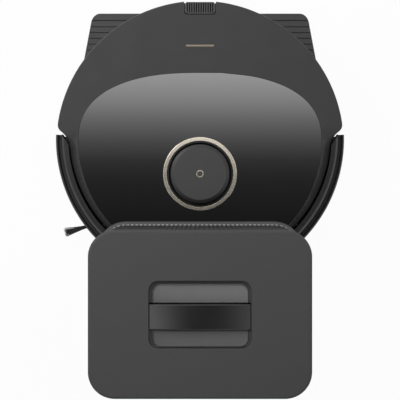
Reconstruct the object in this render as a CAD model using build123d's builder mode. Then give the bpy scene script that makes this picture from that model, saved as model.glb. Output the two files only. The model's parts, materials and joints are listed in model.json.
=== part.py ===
from build123d import *
import os
from math import atan2, cos, degrees, hypot, pi, radians, sin, sqrt

# Robot vacuum parked front first in its self-emptying dock, in millimetres with +Z up.
# The origin is the centre of the set's footprint on the floor. The dock's tower stands at -Y,
# its ramp runs out to +Y, and the robot faces -Y.

os.makedirs("parts", exist_ok=True)

# Clearances
run_gap = 0.3            # between faces that slide past each other or sit in a recess
pin_gap = 0.05           # around a turning pin, on the radius
set_gap = 0.02           # around a pin that is pressed in, on the radius

# Whole set
overall_depth = 446.0    # dock's back to robot's rear edge

# Dock levels and plan
foot_height = 2.0
deck_top = 20.0
hood_headroom = 7.7      # robot's cover to the hood over its front
hood_height = 10.0
hood_round = 1.2
dock_height = 300.0
lid_height = 15.7
tower_width = 232.4
tower_depth = 175.0
tower_corner = 28.0
ledge = 5.5              # lower housing's step in front of the tower
dock_wall = 3.0
flute_pitch = 5.2
flute_height = 1.3

# Base and ramp
base_width = 304.0
base_wall = 4.0
deck_skin = 3.0
toe_width = 276.0
toe_setback = 3.0        # ramp's end inside the robot's rear edge
toe_thickness = 2.5
toe_corner = 12.0
shoulder_y = 139.0
hip_y = 24.0
waist_y = -46.0
ramp_top_y = 111.0
side_blend = 60.0
groove_pitch = 7.6
groove_width = 1.3
groove_depth = 0.8
groove_count = 14
foot_radius = 10.0
foot_spots = [(112, 195), (134, 7), (102, -73), (102, -205)]

# Dust path in the dock
duct_width = 96.0
duct_wall = 2.5
duct_cover_thickness = 2.5
port_width = 90.0
port_length = 14.0
riser_y = -187.0
riser_radius = 20.0
riser_wall = 2.0
collar_thickness = 3.0
tray_height = 9.0
bag_width = 186.0
bag_depth = 128.0
bag_height = 118.0
bag_rounding = 24.0

# Blower in the lower housing
blower_x = 58.0
blower_y = -168.0
blower_radius = 40.0
blower_height = 58.0
blower_wall = 2.5
impeller_radius = 31.0
impeller_height = 20.0
shaft_radius = 4.0

# Lid, its hinge and its handle
lid_wall = 2.5
lid_skin = 3.0
lid_round = 3.0
lid_gap = 0.3
hinge_x = 62.0
hinge_inset = 4.0        # pin's centre in from the lid's back
hinge_rise = 4.3         # pin's centre above the lid's lower edge
hinge_pin_radius = 1.5
ear_width = 10.0
ear_radius = 3.6
recess_width = 106.4
recess_depth = 70.0
recess_corner = 10.0
scoop_wall = 2.6
scoop_depth = 24.0
scoop_sink = 1.0         # scoop's rim below the lid's top
scoop_floor = 4.0
handle_width = 27.0
handle_thickness = 5.0
handle_crown = 8.0
handle_shift = 2.7       # handle's middle behind the recess's middle
gasket_inset = 10.0
gasket_width = 3.0
gasket_drop = 2.5        # gasket's edge below the lid's
gasket_grip = 1.5

# Robot outline
robot_radius = 176.1
rear_radius = 173.2
rear_centre_shift = 7.7  # rear arc's centre in front of the bumper's centre
cover_front_radius = 157.2
notch_rear = 16.5        # where the rear arc ends, behind the bumper's centre
notch_front = -4.5       # where the front arc ends
notch_corner = 8.0
notch_hollow = 5.0

# Robot heights above its wheels' contact
robot_height = 96.5
body_height = 80.0
belly_clearance = 10.0
floor_thickness = 3.0
cover_thickness = 4.5
cover_round = 2.0
shell_inset = 0.6
shell_wall = 2.5

# Gloss panel
panel_border = 3.2       # cover left in front of the panel
panel_half_width = 146.2
panel_rear = 83.3        # from the panel's widest line to its rear edge
panel_fullness = 2.45    # exponent of the panel's rear curve
panel_thickness = 2.6
panel_proud = 0.4
panel_gap = 0.4

# Lidar turret
lidar_y = 14.4
bezel_radius = 43.3
bezel_width = 3.9
bezel_height = 1.8
well_depth = 16.0
well_wall = 1.5
well_floor = 3.0
cap_gap = 2.8            # between the cap's rim and the well
cap_thickness = 6.0
cap_round = 3.6
cap_travel = 1.5
cap_mark_radius = 4.5
cap_mark_width = 1.4
cap_post_radius = 2.0
cap_post_inset = 2.4     # post's centre in from the cap's rim
cap_posts = 3
boss_wall = 1.6
boss_height = 7.0
head_gap = 0.4           # between the spinning head and the posts
head_step = 4.0
head_disc = 5.0
head_lift = 1.0          # head above the posts' bosses
lidar_shaft_radius = 2.5
lens_radius = 2.6
lens_spacing = 17.0
lens_thickness = 1.6

# Bumper
bumper_gap = 1.5         # left between the cover and the pressed bumper
bumper_travel = 3.0
bumper_wrap = 4.0        # ends reach this far behind the bumper's centre
bumper_bottom = 15.0
bumper_lip = 60.0
bumper_top = 77.5
bumper_wall = 3.0
bumper_flange = 2.0
flange_clear = 1.6       # flange to the shell when the bumper is pressed
foot_bevel = (1.5, 3.0)  # in and up, at the bumper's foot
lip_bevel = (1.4, 3.0)   # in and down, at the lip's outer edge
lip_width = 3.0
lip_lean = 0.8
groove_sink = 3.5        # groove behind the lip, below the lip
ridge_lean = 0.8
ridge_bevel = (2.9, 6.0)
crown_drop = 1.0
ridge_radius = 166.8
window_low = 26.0
window_high = 46.0
window_angle = 36.0
window_thickness = 1.4

# Drive wheels and suspension
wheel_y = 65.0
wheel_radius = 35.0
wheel_width = 20.0
wheel_x = 117.0
tyre_thickness = 6.0
tread_count = 26
tread_depth = 1.8
tread_width = 2.6
axle_radius = 4.0
hub_rim = 4.0
hub_boss = 5.0
arm_width = 20.0
arm_side_gap = 3.0       # between the arm and the wheel
arm_length = 46.0
arm_wheel_radius = 16.0
arm_pivot_radius = 9.0
pivot_height = 30.0
pivot_pin_radius = 3.0
ear_thickness = 3.0
well_margin = 2.5
well_floor_thickness = 2.5

# Caster
caster_ahead = 126.0     # in front of the bumper's centre
caster_radius = 13.0
caster_width = 14.0
caster_trail = 7.0
caster_disc_radius = 20.5
caster_disc_height = 30.0
caster_stem_radius = 4.0
caster_cup_radius = 21.5
caster_cup_top = 36.0

# Main roller
roller_y = 61.0
roller_height = 23.0
roller_length = 150.0
fin_radius = 22.0
sleeve_radius = 10.0
core_radius = 7.5
fin_thickness = 1.8
fin_count = 6
fin_twist = 50.0
journal_radius = 4.0
chamber_radius = 24.5
chamber_side = 2.0       # roller's end to the chamber's side
brush_wall = 5.0
brush_box_depth = 60.0
brush_box_top = 53.0
guard_thickness = 2.2
mouth_width = 80.0
mouth_low = 24.0
mouth_high = 46.0

# Side brush
side_brush_x = -99.0
side_brush_ahead = 98.5
side_brush_reach = 73.0
side_brush_angle = 195.5
side_brush_arms = 3
side_brush_hub_radius = 12.0
side_brush_low = 3.5
side_brush_high = 9.0
side_brush_stem_radius = 3.0
bundle_root = 22.0
strands_across = 11
strands_up = 10
bundle_root_size = (5.0, 3.0)
bundle_tip_size = (11.0, 4.4)
strand_radius = 0.14
brush_motor_radius = 11.0

# Dust bin
bin_half_width = 75.0
bin_front = 103.0
bin_top = 70.0
bin_wall = 2.2
bin_lid_thickness = 2.0
filter_thickness = 18.0
latch_width = 36.0
latch_depth = 14.0
latch_height = 12.6
latch_travel = 2.5
latch_sink = 1.2         # latch's top below the cover's top
latch_rib_pitch = 2.8
latch_ribs = 12
latch_rib_depth = 0.9
latch_corner = 3.0

# Other pieces inside the robot
fan_x = -110.0
fan_y = 129.0
fan_radius = 26.0
fan_height = 45.0
fan_wall = 2.5
battery_width = 124.0
battery_length = 48.0
battery_height = 24.0
battery_y = -19.0
board_thickness = 1.6
contact_x = 34.0
contact_ahead = 143.0
contact_radius = 4.0
contact_travel = 4.0
inlay_y = 168.8

# Levels and places that follow from the sizes above
half_depth = overall_depth / 2
rear_y = half_depth - rear_radius
robot_y = rear_y + rear_centre_shift
front_y = robot_y + bumper_travel   # cover's front arc is round about here
tower_back = -half_depth
tower_front = tower_back + tower_depth
tower_y = (tower_back + tower_front) / 2
hood_width = tower_width + 2 * ledge
hood_depth = tower_depth + ledge
hood_y = tower_y + ledge / 2
ground = deck_top + run_gap
belly = ground + belly_clearance
floor_top = belly + floor_thickness
cover_top = ground + body_height
cover_bottom = cover_top - cover_thickness
panel_top = cover_top + panel_proud
lidar_top = ground + robot_height
hood_bottom = cover_top + hood_headroom
hood_top = hood_bottom + hood_height
lid_bottom = dock_height - lid_height
tower_top = lid_bottom - lid_gap
toe_y = half_depth - toe_setback
toe_top = foot_height + toe_thickness
caster_y = robot_y - caster_ahead
side_brush_y = robot_y - side_brush_ahead
contact_y = robot_y - contact_ahead
pivot_y = wheel_y - arm_length
arm_inner = wheel_x - wheel_width / 2 - arm_side_gap - arm_width
inner_inset = dock_wall + flute_height


def write(piece, name):
    """Labels a finished piece and writes it as its own STEP file."""
    piece.part.label = name
    export_step(piece.part, f"parts/{name}.step")


# Dock base

def base_outline():
    """Plan of the base: ramp, wide deck under the wheels, and the tower's footprint."""
    half = [
        (toe_width / 2, toe_y),
        (base_width / 2, shoulder_y),
        (base_width / 2, hip_y),
        (hood_width / 2, waist_y),
        (hood_width / 2, tower_back),
    ]
    points = half + [(-x, y) for x, y in reversed(half)]
    with BuildSketch() as outline:
        with BuildLine():
            Polyline(*points, close=True)
        make_face()
        rows = outline.vertices().group_by(Axis.Y)
        fillet(rows[-1], toe_corner)
        rows = outline.vertices().group_by(Axis.Y)
        fillet(rows[0], tower_corner + ledge)
        for level in (shoulder_y, hip_y, waist_y):
            corners = [v for v in outline.vertices() if abs(v.Y - level) < 0.01]
            fillet(corners, side_blend)
    return outline.sketch


def ramp_wedge(drop):
    """Side view, drawn flat, of what is above the ramp when the ramp is lowered by drop."""
    past = toe_y + toe_corner
    slope = (deck_top - toe_top) / (toe_y - ramp_top_y)
    past_z = deck_top - slope * (past - ramp_top_y)
    with BuildSketch() as wedge:
        with BuildLine():
            Polyline(
                (ramp_top_y, deck_top - drop),
                (past, past_z - drop),
                (past, 2 * deck_top),
                (ramp_top_y, 2 * deck_top),
                close=True,
            )
        make_face()
    return wedge.sketch


well_size = (wheel_width + 2 * well_margin, 2 * wheel_radius - 2 * well_margin)
feet = [(side * x, y) for x, y in foot_spots for side in (1, -1)]
duct_front = roller_y + port_length
duct_back = riser_y - riser_radius - duct_wall
duct_y = (duct_front + duct_back) / 2
duct_length = duct_front - duct_back
contacts = [(side * contact_x, contact_y) for side in (1, -1)]
contact_floor = foot_height + contact_travel - 1.0
contact_foot = contact_floor + contact_travel + 1.0

with BuildPart() as base_hollow:
    with BuildSketch(Plane.XY.offset(foot_height)):
        add(base_outline())
        offset(amount=-base_wall)
    extrude(amount=deck_top - deck_skin - foot_height)
    with BuildSketch(Plane.YZ):
        add(ramp_wedge(deck_skin))
    extrude(amount=base_width, both=True, mode=Mode.SUBTRACT)
    with BuildSketch(Plane.XY.offset(foot_height)):
        with Locations(*feet):
            Circle(foot_radius + duct_wall)
        with Locations(*contacts):
            Circle(contact_radius + duct_wall)
        with Locations((wheel_x, wheel_y), (-wheel_x, wheel_y)):
            Rectangle(well_size[0] + 2 * duct_wall, well_size[1] + 2 * duct_wall)
        with Locations((0, duct_y)):
            Rectangle(duct_width + 2 * duct_wall, duct_length + 2 * duct_wall)
    extrude(amount=deck_top, mode=Mode.SUBTRACT)

slope_angle = degrees(atan2(deck_top - toe_top, toe_y - ramp_top_y))
ramp_normal = (0, sin(radians(slope_angle)), cos(radians(slope_angle)))
ramp_plane = Plane((0, toe_y, toe_top), x_dir=(1, 0, 0), z_dir=ramp_normal)
with BuildPart() as dock_base:
    with BuildSketch(Plane.XY.offset(foot_height)):
        add(base_outline())
    extrude(amount=deck_top - foot_height)
    with BuildSketch(Plane.YZ):
        add(ramp_wedge(0))
    extrude(amount=base_width, both=True, mode=Mode.SUBTRACT)
    add(base_hollow.part, mode=Mode.SUBTRACT)
    # wheel wells
    with BuildSketch(Plane.XY.offset(foot_height + well_floor_thickness)):
        with Locations((wheel_x, wheel_y), (-wheel_x, wheel_y)):
            RectangleRounded(*well_size, 2 * well_margin)
    extrude(amount=deck_top, mode=Mode.SUBTRACT)
    # dust duct, its port under the roller and the way up to the riser
    with BuildSketch(Plane.XY.offset(foot_height)):
        with Locations((0, duct_y)):
            Rectangle(duct_width, duct_length)
    extrude(amount=deck_top - deck_skin - foot_height, mode=Mode.SUBTRACT)
    with BuildSketch(Plane.XY.offset(deck_top)):
        with Locations((0, roller_y)):
            SlotOverall(port_width, port_length)
        with Locations((0, riser_y)):
            Circle(riser_radius - riser_wall)
    extrude(amount=-deck_skin, mode=Mode.SUBTRACT)
    # bores of the charging contacts
    with BuildSketch(Plane.XY.offset(contact_floor)):
        with Locations(*contacts):
            Circle(contact_radius + pin_gap)
    extrude(amount=deck_top, mode=Mode.SUBTRACT)
    # anti-slip grooves across the ramp
    with BuildSketch(ramp_plane):
        with Locations((0, -groove_pitch * (groove_count + 1) / 2)):
            with GridLocations(0, groove_pitch, 1, groove_count):
                Rectangle(2 * base_width, groove_width)
    extrude(amount=-groove_depth, mode=Mode.SUBTRACT)
write(dock_base, "dock_base")

with BuildPart() as duct_cover:
    with BuildSketch(Plane.XY.offset(foot_height)):
        with Locations((0, duct_y)):
            Rectangle(duct_width - 2 * run_gap, duct_length - 2 * run_gap)
    extrude(amount=duct_cover_thickness)
write(duct_cover, "duct_cover")

with BuildPart() as dock_feet:
    with BuildSketch():
        with Locations(*feet):
            Circle(foot_radius)
    extrude(amount=foot_height)
    chamfer(dock_feet.edges().group_by(Axis.Z)[0], foot_height / 4)
write(dock_feet, "dock_feet")

with BuildPart() as contact_plungers:
    with BuildSketch(Plane.XY.offset(contact_foot)):
        with Locations(*contacts):
            Circle(contact_radius)
    extrude(amount=belly - run_gap - contact_foot)
    fillet(contact_plungers.edges().group_by(Axis.Z)[-1], contact_radius * 0.6)
write(contact_plungers, "contact_plungers")


# Dock tower

def hood_outline(inset):
    with BuildSketch() as outline:
        with Locations((0, hood_y)):
            RectangleRounded(hood_width - 2 * inset, hood_depth - 2 * inset, tower_corner + ledge - inset)
    return outline.sketch


def tower_outline(inset):
    with BuildSketch() as outline:
        with Locations((0, tower_y)):
            RectangleRounded(tower_width - 2 * inset, tower_depth - 2 * inset, tower_corner - inset)
    return outline.sketch


bay_gap = 6.0
bay_radius = robot_radius + bay_gap
kick_clear = 2.0
kick_radius = hypot(side_brush_x, side_brush_ahead) + side_brush_reach + kick_clear
kick_top = belly + kick_clear
blower_base = kick_top + dock_wall
grille_z = blower_base + blower_height / 2
tray_ledge = 8.0
grille_slots = 7
grille_pitch = 8.0
grille_slot = (3.6, 34.0)
inlet_x = -70.0
inlet_z = 52.0
inlet_size = (26.0, 15.0)
inlet_depth = 17.0
board_size = (76.0, 46.0)
board_x = -66.0
board_z = 88.0
board_boss = 3.5
board_off_wall = 10.0
beacon_low = 60.0
beacon_high = 80.0
beacon_angle = 14.0
beacon_thickness = 1.5


def ring_sector(inner, outer, angle, low, high):
    """Curved plate around the bumper's centre, facing -Y, spanning angle each side."""
    with BuildPart() as plate:
        with BuildSketch(Plane.XY.offset(low)):
            with Locations((0, robot_y)):
                Circle(outer)
                Circle(inner, mode=Mode.SUBTRACT)
            reach = 2 * outer
            with BuildLine():
                Polyline(
                    (0, robot_y),
                    (-reach * sin(radians(angle)), robot_y - reach * cos(radians(angle))),
                    (0, robot_y - 2 * reach),
                    (reach * sin(radians(angle)), robot_y - reach * cos(radians(angle))),
                    close=True,
                )
            make_face(mode=Mode.INTERSECT)
        extrude(amount=high - low)
    return plate.part


with BuildPart() as housing_hollow:
    with BuildSketch(Plane.XY.offset(deck_top)):
        add(hood_outline(dock_wall))
    extrude(amount=hood_top - dock_wall - deck_top)
    with BuildSketch(Plane.XY.offset(deck_top)):
        with Locations((0, robot_y)):
            Circle(bay_radius + dock_wall)
    extrude(amount=hood_bottom + dock_wall - deck_top, mode=Mode.SUBTRACT)
    with BuildSketch(Plane.XY.offset(deck_top)):
        with Locations((0, robot_y)):
            Circle(kick_radius + dock_wall)
    extrude(amount=kick_top + dock_wall - deck_top, mode=Mode.SUBTRACT)

boss_length = board_off_wall - board_thickness
board_corners = [(sx * (board_size[0] / 2 - 2 * board_boss), sz * (board_size[1] / 2 - 2 * board_boss))
                 for sx in (1, -1) for sz in (1, -1)]
back_inside = Plane((0, tower_back + dock_wall, 0), x_dir=(1, 0, 0), z_dir=(0, -1, 0))
with BuildPart() as lower_housing:
    with BuildSketch(Plane.XY.offset(deck_top)):
        add(hood_outline(0))
    extrude(amount=hood_top - deck_top)
    fillet(lower_housing.faces().sort_by(Axis.Z)[-1].edges(), hood_round)
    # bay for the robot's front, deeper at the foot to clear the side brush
    with BuildSketch(Plane.XY.offset(deck_top)):
        with Locations((0, robot_y)):
            Circle(bay_radius)
    extrude(amount=hood_bottom - deck_top, mode=Mode.SUBTRACT)
    with BuildSketch(Plane.XY.offset(deck_top)):
        with Locations((0, robot_y)):
            Circle(kick_radius)
    extrude(amount=kick_top - deck_top, mode=Mode.SUBTRACT)
    add(housing_hollow.part, mode=Mode.SUBTRACT)
    # opening under the bag tray
    with BuildSketch(Plane.XY.offset(hood_top - dock_wall)):
        add(tower_outline(inner_inset + tray_ledge))
    extrude(amount=2 * dock_wall, mode=Mode.SUBTRACT)
    # exhaust grille and mains inlet in the back wall
    with BuildSketch(back_inside):
        with Locations((blower_x, grille_z)):
            with GridLocations(grille_pitch, 0, grille_slots, 1):
                SlotOverall(grille_slot[1], grille_slot[0], rotation=90)
        with Locations((inlet_x, inlet_z)):
            Rectangle(inlet_size[0] + 2 * run_gap, inlet_size[1] + 2 * run_gap)
    extrude(amount=2 * dock_wall, mode=Mode.SUBTRACT)
    # bosses that carry the control board
    with BuildSketch(back_inside):
        with Locations((board_x, board_z)):
            with Locations(*board_corners):
                Circle(board_boss)
    extrude(amount=-boss_length)
    # recess of the beacon window in the bay's wall
    add(ring_sector(bay_radius - 1, bay_radius + beacon_thickness, beacon_angle, beacon_low, beacon_high),
        mode=Mode.SUBTRACT)
write(lower_housing, "lower_housing")

with BuildPart() as beacon_window:
    trim = degrees(run_gap / bay_radius)
    add(ring_sector(bay_radius, bay_radius + beacon_thickness - set_gap, beacon_angle - trim,
                    beacon_low + run_gap, beacon_high - run_gap))
write(beacon_window, "beacon_window")

with BuildPart() as dock_board:
    board_plane = back_inside.offset(-boss_length)
    with BuildSketch(board_plane):
        with Locations((board_x, board_z)):
            Rectangle(*board_size)
    extrude(amount=-board_thickness)
    with BuildSketch(board_plane.offset(-board_thickness)):
        with Locations((board_x, board_z)):
            with GridLocations(board_size[0] / 3, board_size[1] / 2, 3, 2):
                Rectangle(board_size[0] / 6, board_size[1] / 4)
    extrude(amount=-2 * board_thickness)
write(dock_board, "dock_board")

with BuildPart() as power_inlet:
    with BuildSketch(back_inside.offset(dock_wall)):
        with Locations((inlet_x, inlet_z)):
            RectangleRounded(*inlet_size, 2.0)
    extrude(amount=-inlet_depth)
    with BuildSketch(back_inside):
        with Locations((inlet_x, inlet_z)):
            Rectangle(inlet_size[0] + 2 * dock_wall, inlet_size[1] + 2 * dock_wall)
    extrude(amount=-dock_wall)
    # two round pin holes joined by a slot
    with BuildSketch(back_inside.offset(dock_wall)):
        with Locations((inlet_x, inlet_z)):
            SlotOverall(inlet_size[0] * 0.62, inlet_size[1] * 0.56)
    extrude(amount=-0.7 * inlet_depth, mode=Mode.SUBTRACT)
    with BuildSketch(back_inside.offset(dock_wall - 0.7 * inlet_depth)):
        with Locations((inlet_x, inlet_z)):
            with GridLocations(inlet_size[0] * 0.3, 0, 2, 1):
                Circle(1.2)
    extrude(amount=0.5 * inlet_depth)
write(power_inlet, "power_inlet")


def flute_points():
    """Roots of the ribs along the left side, front-left corner, front and on round to the right."""
    corner = tower_corner - flute_height
    left = -tower_width / 2 + flute_height
    front = tower_front - flute_height
    side_end = tower_back + tower_corner
    side_length = tower_depth - 2 * tower_corner
    front_length = tower_width - 2 * tower_corner
    side_ribs = max(1, round(side_length / flute_pitch))
    front_ribs = max(1, round(front_length / flute_pitch))
    corner_ribs = max(1, round(corner * pi / 2 / flute_pitch))
    points = [(left, side_end + side_length * i / side_ribs) for i in range(side_ribs)]
    for i in range(corner_ribs):
        turn = pi - pi / 2 * i / corner_ribs
        points.append((left + corner + corner * cos(turn), front - corner + corner * sin(turn)))
    points += [(left + corner + front_length * i / front_ribs, front) for i in range(front_ribs // 2 + 1)]
    mirrored = [(-x, y) for x, y in reversed(points) if x < -1e-6]
    return [p for p in points if p[0] <= 1e-6] + mirrored


hinge_y = tower_back + hinge_inset
hinge_z = lid_bottom + hinge_rise
hinge_relief = hypot(hinge_inset, hinge_rise) - hinge_rise + 2 * run_gap
with BuildPart() as tower_shell:
    with BuildSketch(Plane.XY.offset(hood_top)):
        roots = flute_points()
        with BuildLine():
            for a, b in zip(roots, roots[1:]):
                run = hypot(b[0] - a[0], b[1] - a[1])
                out = (-(b[1] - a[1]) / run, (b[0] - a[0]) / run)
                crest = ((a[0] + b[0]) / 2 + flute_height * out[0], (a[1] + b[1]) / 2 + flute_height * out[1])
                ThreePointArc(a, crest, b)
            flat = tower_width / 2 - tower_corner
            Line(roots[-1], (tower_width / 2, roots[-1][1]))
            RadiusArc((tower_width / 2, roots[-1][1]), (flat, tower_back), tower_corner)
            Line((flat, tower_back), (-flat, tower_back))
            RadiusArc((-flat, tower_back), (-tower_width / 2, roots[0][1]), tower_corner)
            Line((-tower_width / 2, roots[0][1]), roots[0])
        make_face()
        add(tower_outline(inner_inset), mode=Mode.SUBTRACT)
    extrude(amount=tower_top - hood_top)
    # room for the lid's rear edge as it swings
    with BuildSketch(Plane.XY.offset(tower_top - hinge_relief)):
        with Locations((0, tower_back)):
            Rectangle(tower_width - tower_corner, 2 * inner_inset + 2 * hinge_inset)
    extrude(amount=hinge_relief + lid_gap, mode=Mode.SUBTRACT)
    # hinge ears
    ear_foot = tower_top - 2 * ear_width
    for side in (1, -1):
        with BuildSketch(Plane.YZ.offset(side * hinge_x - ear_width / 2)):
            with Locations((hinge_y, hinge_z)):
                Circle(ear_radius)
            with Locations((hinge_y, (hinge_z + ear_foot) / 2)):
                Rectangle(2 * ear_radius, hinge_z - ear_foot)
        extrude(amount=ear_width)
    with BuildSketch(Plane.YZ):
        with Locations((hinge_y, hinge_z)):
            Circle(hinge_pin_radius + pin_gap)
    extrude(amount=tower_width / 2, both=True, mode=Mode.SUBTRACT)
write(tower_shell, "tower_shell")

tray_top = hood_top + tray_height
collar_top = tray_top + collar_thickness
bag_back_gap = 5.0
bag_y = tower_back + inner_inset + bag_back_gap + bag_depth / 2
tray_slot = (60.0, 5.0)
tray_slots = 3
with BuildPart() as bag_tray:
    with BuildSketch(Plane.XY.offset(hood_top)):
        add(tower_outline(inner_inset + run_gap))
    extrude(amount=tray_height)
    with BuildSketch(Plane.XY.offset(hood_top)):
        add(tower_outline(inner_inset + tray_ledge - dock_wall))
    extrude(amount=tray_height - dock_wall, mode=Mode.SUBTRACT)
    # riser hole, and air slots in front of the bag
    with BuildSketch(Plane.XY.offset(tray_top)):
        with Locations((0, riser_y)):
            Circle(riser_radius + run_gap)
        with Locations((0, (bag_y + bag_depth / 2 + tower_front - inner_inset) / 2)):
            with GridLocations(tray_slot[0] + 2 * tray_slot[1], 0, tray_slots, 1):
                SlotOverall(*tray_slot)
    extrude(amount=-dock_wall, mode=Mode.SUBTRACT)
write(bag_tray, "bag_tray")

with BuildPart() as bag_collar:
    with BuildSketch(Plane.XY.offset(tray_top)):
        with Locations((0, bag_y)):
            RectangleRounded(bag_width, bag_depth, bag_rounding)
        with Locations((0, riser_y)):
            Circle(riser_radius + run_gap, mode=Mode.SUBTRACT)
    extrude(amount=collar_thickness)
write(bag_collar, "bag_collar")

with BuildPart() as dust_bag:
    with BuildSketch(Plane.XY.offset(collar_top)):
        with Locations((0, bag_y)):
            RectangleRounded(bag_width, bag_depth, bag_rounding)
    extrude(amount=bag_height)
    fillet(dust_bag.faces().sort_by(Axis.Z)[-1].edges(), 0.7 * bag_rounding)
write(dust_bag, "dust_bag")

with BuildPart() as dust_riser:
    with BuildSketch(Plane.XY.offset(deck_top)):
        with Locations((0, riser_y)):
            Circle(riser_radius)
            Circle(riser_radius - riser_wall, mode=Mode.SUBTRACT)
    extrude(amount=collar_top - deck_top)
write(dust_riser, "dust_riser")

# Blower: a drum with a motor in its foot, an inlet on top and a spout to the grille
spout_size = (grille_pitch * grille_slots + 2 * blower_wall, grille_slot[1] + 4 * blower_wall)
spout_back = tower_back + dock_wall
impeller_z = blower_base + blower_height - blower_wall - impeller_height - 3 * blower_wall
motor_radius = impeller_radius / 2
with BuildPart() as blower_housing:
    with BuildSketch(Plane.XY.offset(blower_base)):
        with Locations((blower_x, blower_y)):
            Circle(blower_radius)
    extrude(amount=blower_height)
    with BuildSketch(Plane.XZ.offset(-spout_back)):
        with Locations((blower_x, grille_z)):
            Rectangle(*spout_size)
    extrude(amount=spout_back - blower_y)
    with BuildSketch(Plane.XY.offset(blower_base + blower_wall)):
        with Locations((blower_x, blower_y)):
            Circle(blower_radius - blower_wall)
    extrude(amount=blower_height - 2 * blower_wall, mode=Mode.SUBTRACT)
    with BuildSketch(Plane.XZ.offset(-spout_back)):
        with Locations((blower_x, grille_z)):
            Rectangle(spout_size[0] - 2 * blower_wall, spout_size[1] - 2 * blower_wall)
    extrude(amount=spout_back - blower_y, mode=Mode.SUBTRACT)
    with BuildSketch(Plane.XY.offset(blower_base + blower_height)):
        with Locations((blower_x, blower_y)):
            Circle(motor_radius)
    extrude(amount=-blower_wall, mode=Mode.SUBTRACT)
    with BuildSketch(Plane.XY.offset(blower_base)):
        with Locations((blower_x, blower_y)):
            Circle(motor_radius)
    extrude(amount=impeller_z - blower_wall - blower_base)
    with BuildSketch(Plane.XY.offset(blower_base)):
        with Locations((blower_x, blower_y)):
            Circle(shaft_radius)
    extrude(amount=impeller_z + impeller_height - blower_base)
write(blower_housing, "blower_housing")


def impeller(x, y, z, radius, height, shaft, blades):
    """Backplate, hub and straight blades around a bore that runs on a shaft."""
    hub = 2.2 * shaft
    plate = 0.1 * height
    blade = 0.05 * radius
    with BuildPart() as wheel:
        with BuildSketch(Plane.XY.offset(z)):
            with Locations((x, y)):
                Circle(radius)
        extrude(amount=plate)
        with BuildSketch(Plane.XY.offset(z)):
            with Locations((x, y)):
                Circle(hub)
                with PolarLocations(0, blades):
                    with Locations(((hub + radius) / 2 - blade, 0)):
                        Rectangle(radius - hub, blade)
        extrude(amount=height)
        with BuildSketch(Plane.XY.offset(z)):
            with Locations((x, y)):
                Circle(shaft + pin_gap)
        extrude(amount=height, mode=Mode.SUBTRACT)
    return wheel


impeller_blades = 9
blower_impeller = impeller(
    blower_x, blower_y, impeller_z, impeller_radius, impeller_height, shaft_radius, impeller_blades
)
write(blower_impeller, "blower_impeller")

# Dock lid
scoop_top = dock_height - scoop_sink
scoop_chord = recess_depth / 2 - scoop_wall
scoop_radius = (scoop_chord**2 + scoop_depth**2) / (2 * scoop_depth)
scoop_axis = scoop_top - scoop_depth + scoop_radius
handle_low = scoop_top - handle_thickness - handle_crown
handle_y = tower_y - handle_shift
hinge_block = 5.0
hinge_slot = ear_width + 2 * run_gap
gasket_low = lid_bottom - gasket_drop
gasket_high = lid_bottom + gasket_grip

with BuildPart() as lid_shell:
    with BuildSketch(Plane.XY.offset(lid_bottom)):
        add(tower_outline(0))
    extrude(amount=lid_height)
    fillet(lid_shell.faces().sort_by(Axis.Z)[-1].edges(), lid_round)
    with BuildSketch(Plane.XY.offset(lid_bottom)):
        add(tower_outline(lid_wall))
    extrude(amount=lid_height - lid_skin, mode=Mode.SUBTRACT)
    # rib that carries the gasket
    with BuildSketch(Plane.XY.offset(gasket_high)):
        add(tower_outline(gasket_inset))
        add(tower_outline(gasket_inset + gasket_width), mode=Mode.SUBTRACT)
    extrude(amount=dock_height - lid_skin - gasket_high)
    # frame around the handle recess
    with BuildSketch(Plane.XY.offset(lid_bottom)):
        with Locations((0, tower_y)):
            RectangleRounded(
                recess_width + 2 * lid_wall, recess_depth + 2 * lid_wall, recess_corner + lid_wall
            )
    extrude(amount=lid_height - lid_skin)
    with BuildSketch(Plane.XY.offset(lid_bottom)):
        with Locations((0, tower_y)):
            RectangleRounded(recess_width, recess_depth, recess_corner)
    extrude(amount=lid_height, mode=Mode.SUBTRACT)
    # hinge blocks, their slots for the ears and the pin bores
    with BuildSketch(Plane.XY.offset(lid_bottom)):
        with Locations((hinge_x, hinge_y), (-hinge_x, hinge_y)):
            Rectangle(hinge_slot + 2 * hinge_block, 2 * hinge_inset)
    extrude(amount=lid_height - lid_skin)
    with BuildSketch(Plane.XY.offset(lid_bottom)):
        with Locations((hinge_x, hinge_y), (-hinge_x, hinge_y)):
            Rectangle(hinge_slot, 4 * hinge_inset)
    extrude(amount=hinge_rise + ear_radius + run_gap, mode=Mode.SUBTRACT)
    pin_length = hinge_slot + 2 * hinge_block - 1.0
    with BuildSketch(Plane.YZ.offset(-hinge_x - pin_length / 2)):
        with Locations((hinge_y, hinge_z)):
            Circle(hinge_pin_radius + set_gap)
    extrude(amount=pin_length, mode=Mode.SUBTRACT)
    with BuildSketch(Plane.YZ.offset(hinge_x - pin_length / 2)):
        with Locations((hinge_y, hinge_z)):
            Circle(hinge_pin_radius + set_gap)
    extrude(amount=pin_length, mode=Mode.SUBTRACT)
write(lid_shell, "lid_shell")

with BuildPart() as hinge_pins:
    for side in (1, -1):
        with BuildSketch(Plane.YZ.offset(side * hinge_x - pin_length / 2)):
            with Locations((hinge_y, hinge_z)):
                Circle(hinge_pin_radius)
        extrude(amount=pin_length)
write(hinge_pins, "hinge_pins")

with BuildPart() as lid_gasket:
    with BuildSketch(Plane.XY.offset(gasket_low)):
        add(tower_outline(gasket_inset))
        add(tower_outline(gasket_inset + gasket_width), mode=Mode.SUBTRACT)
    extrude(amount=gasket_high - gasket_low)
write(lid_gasket, "lid_gasket")

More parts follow.
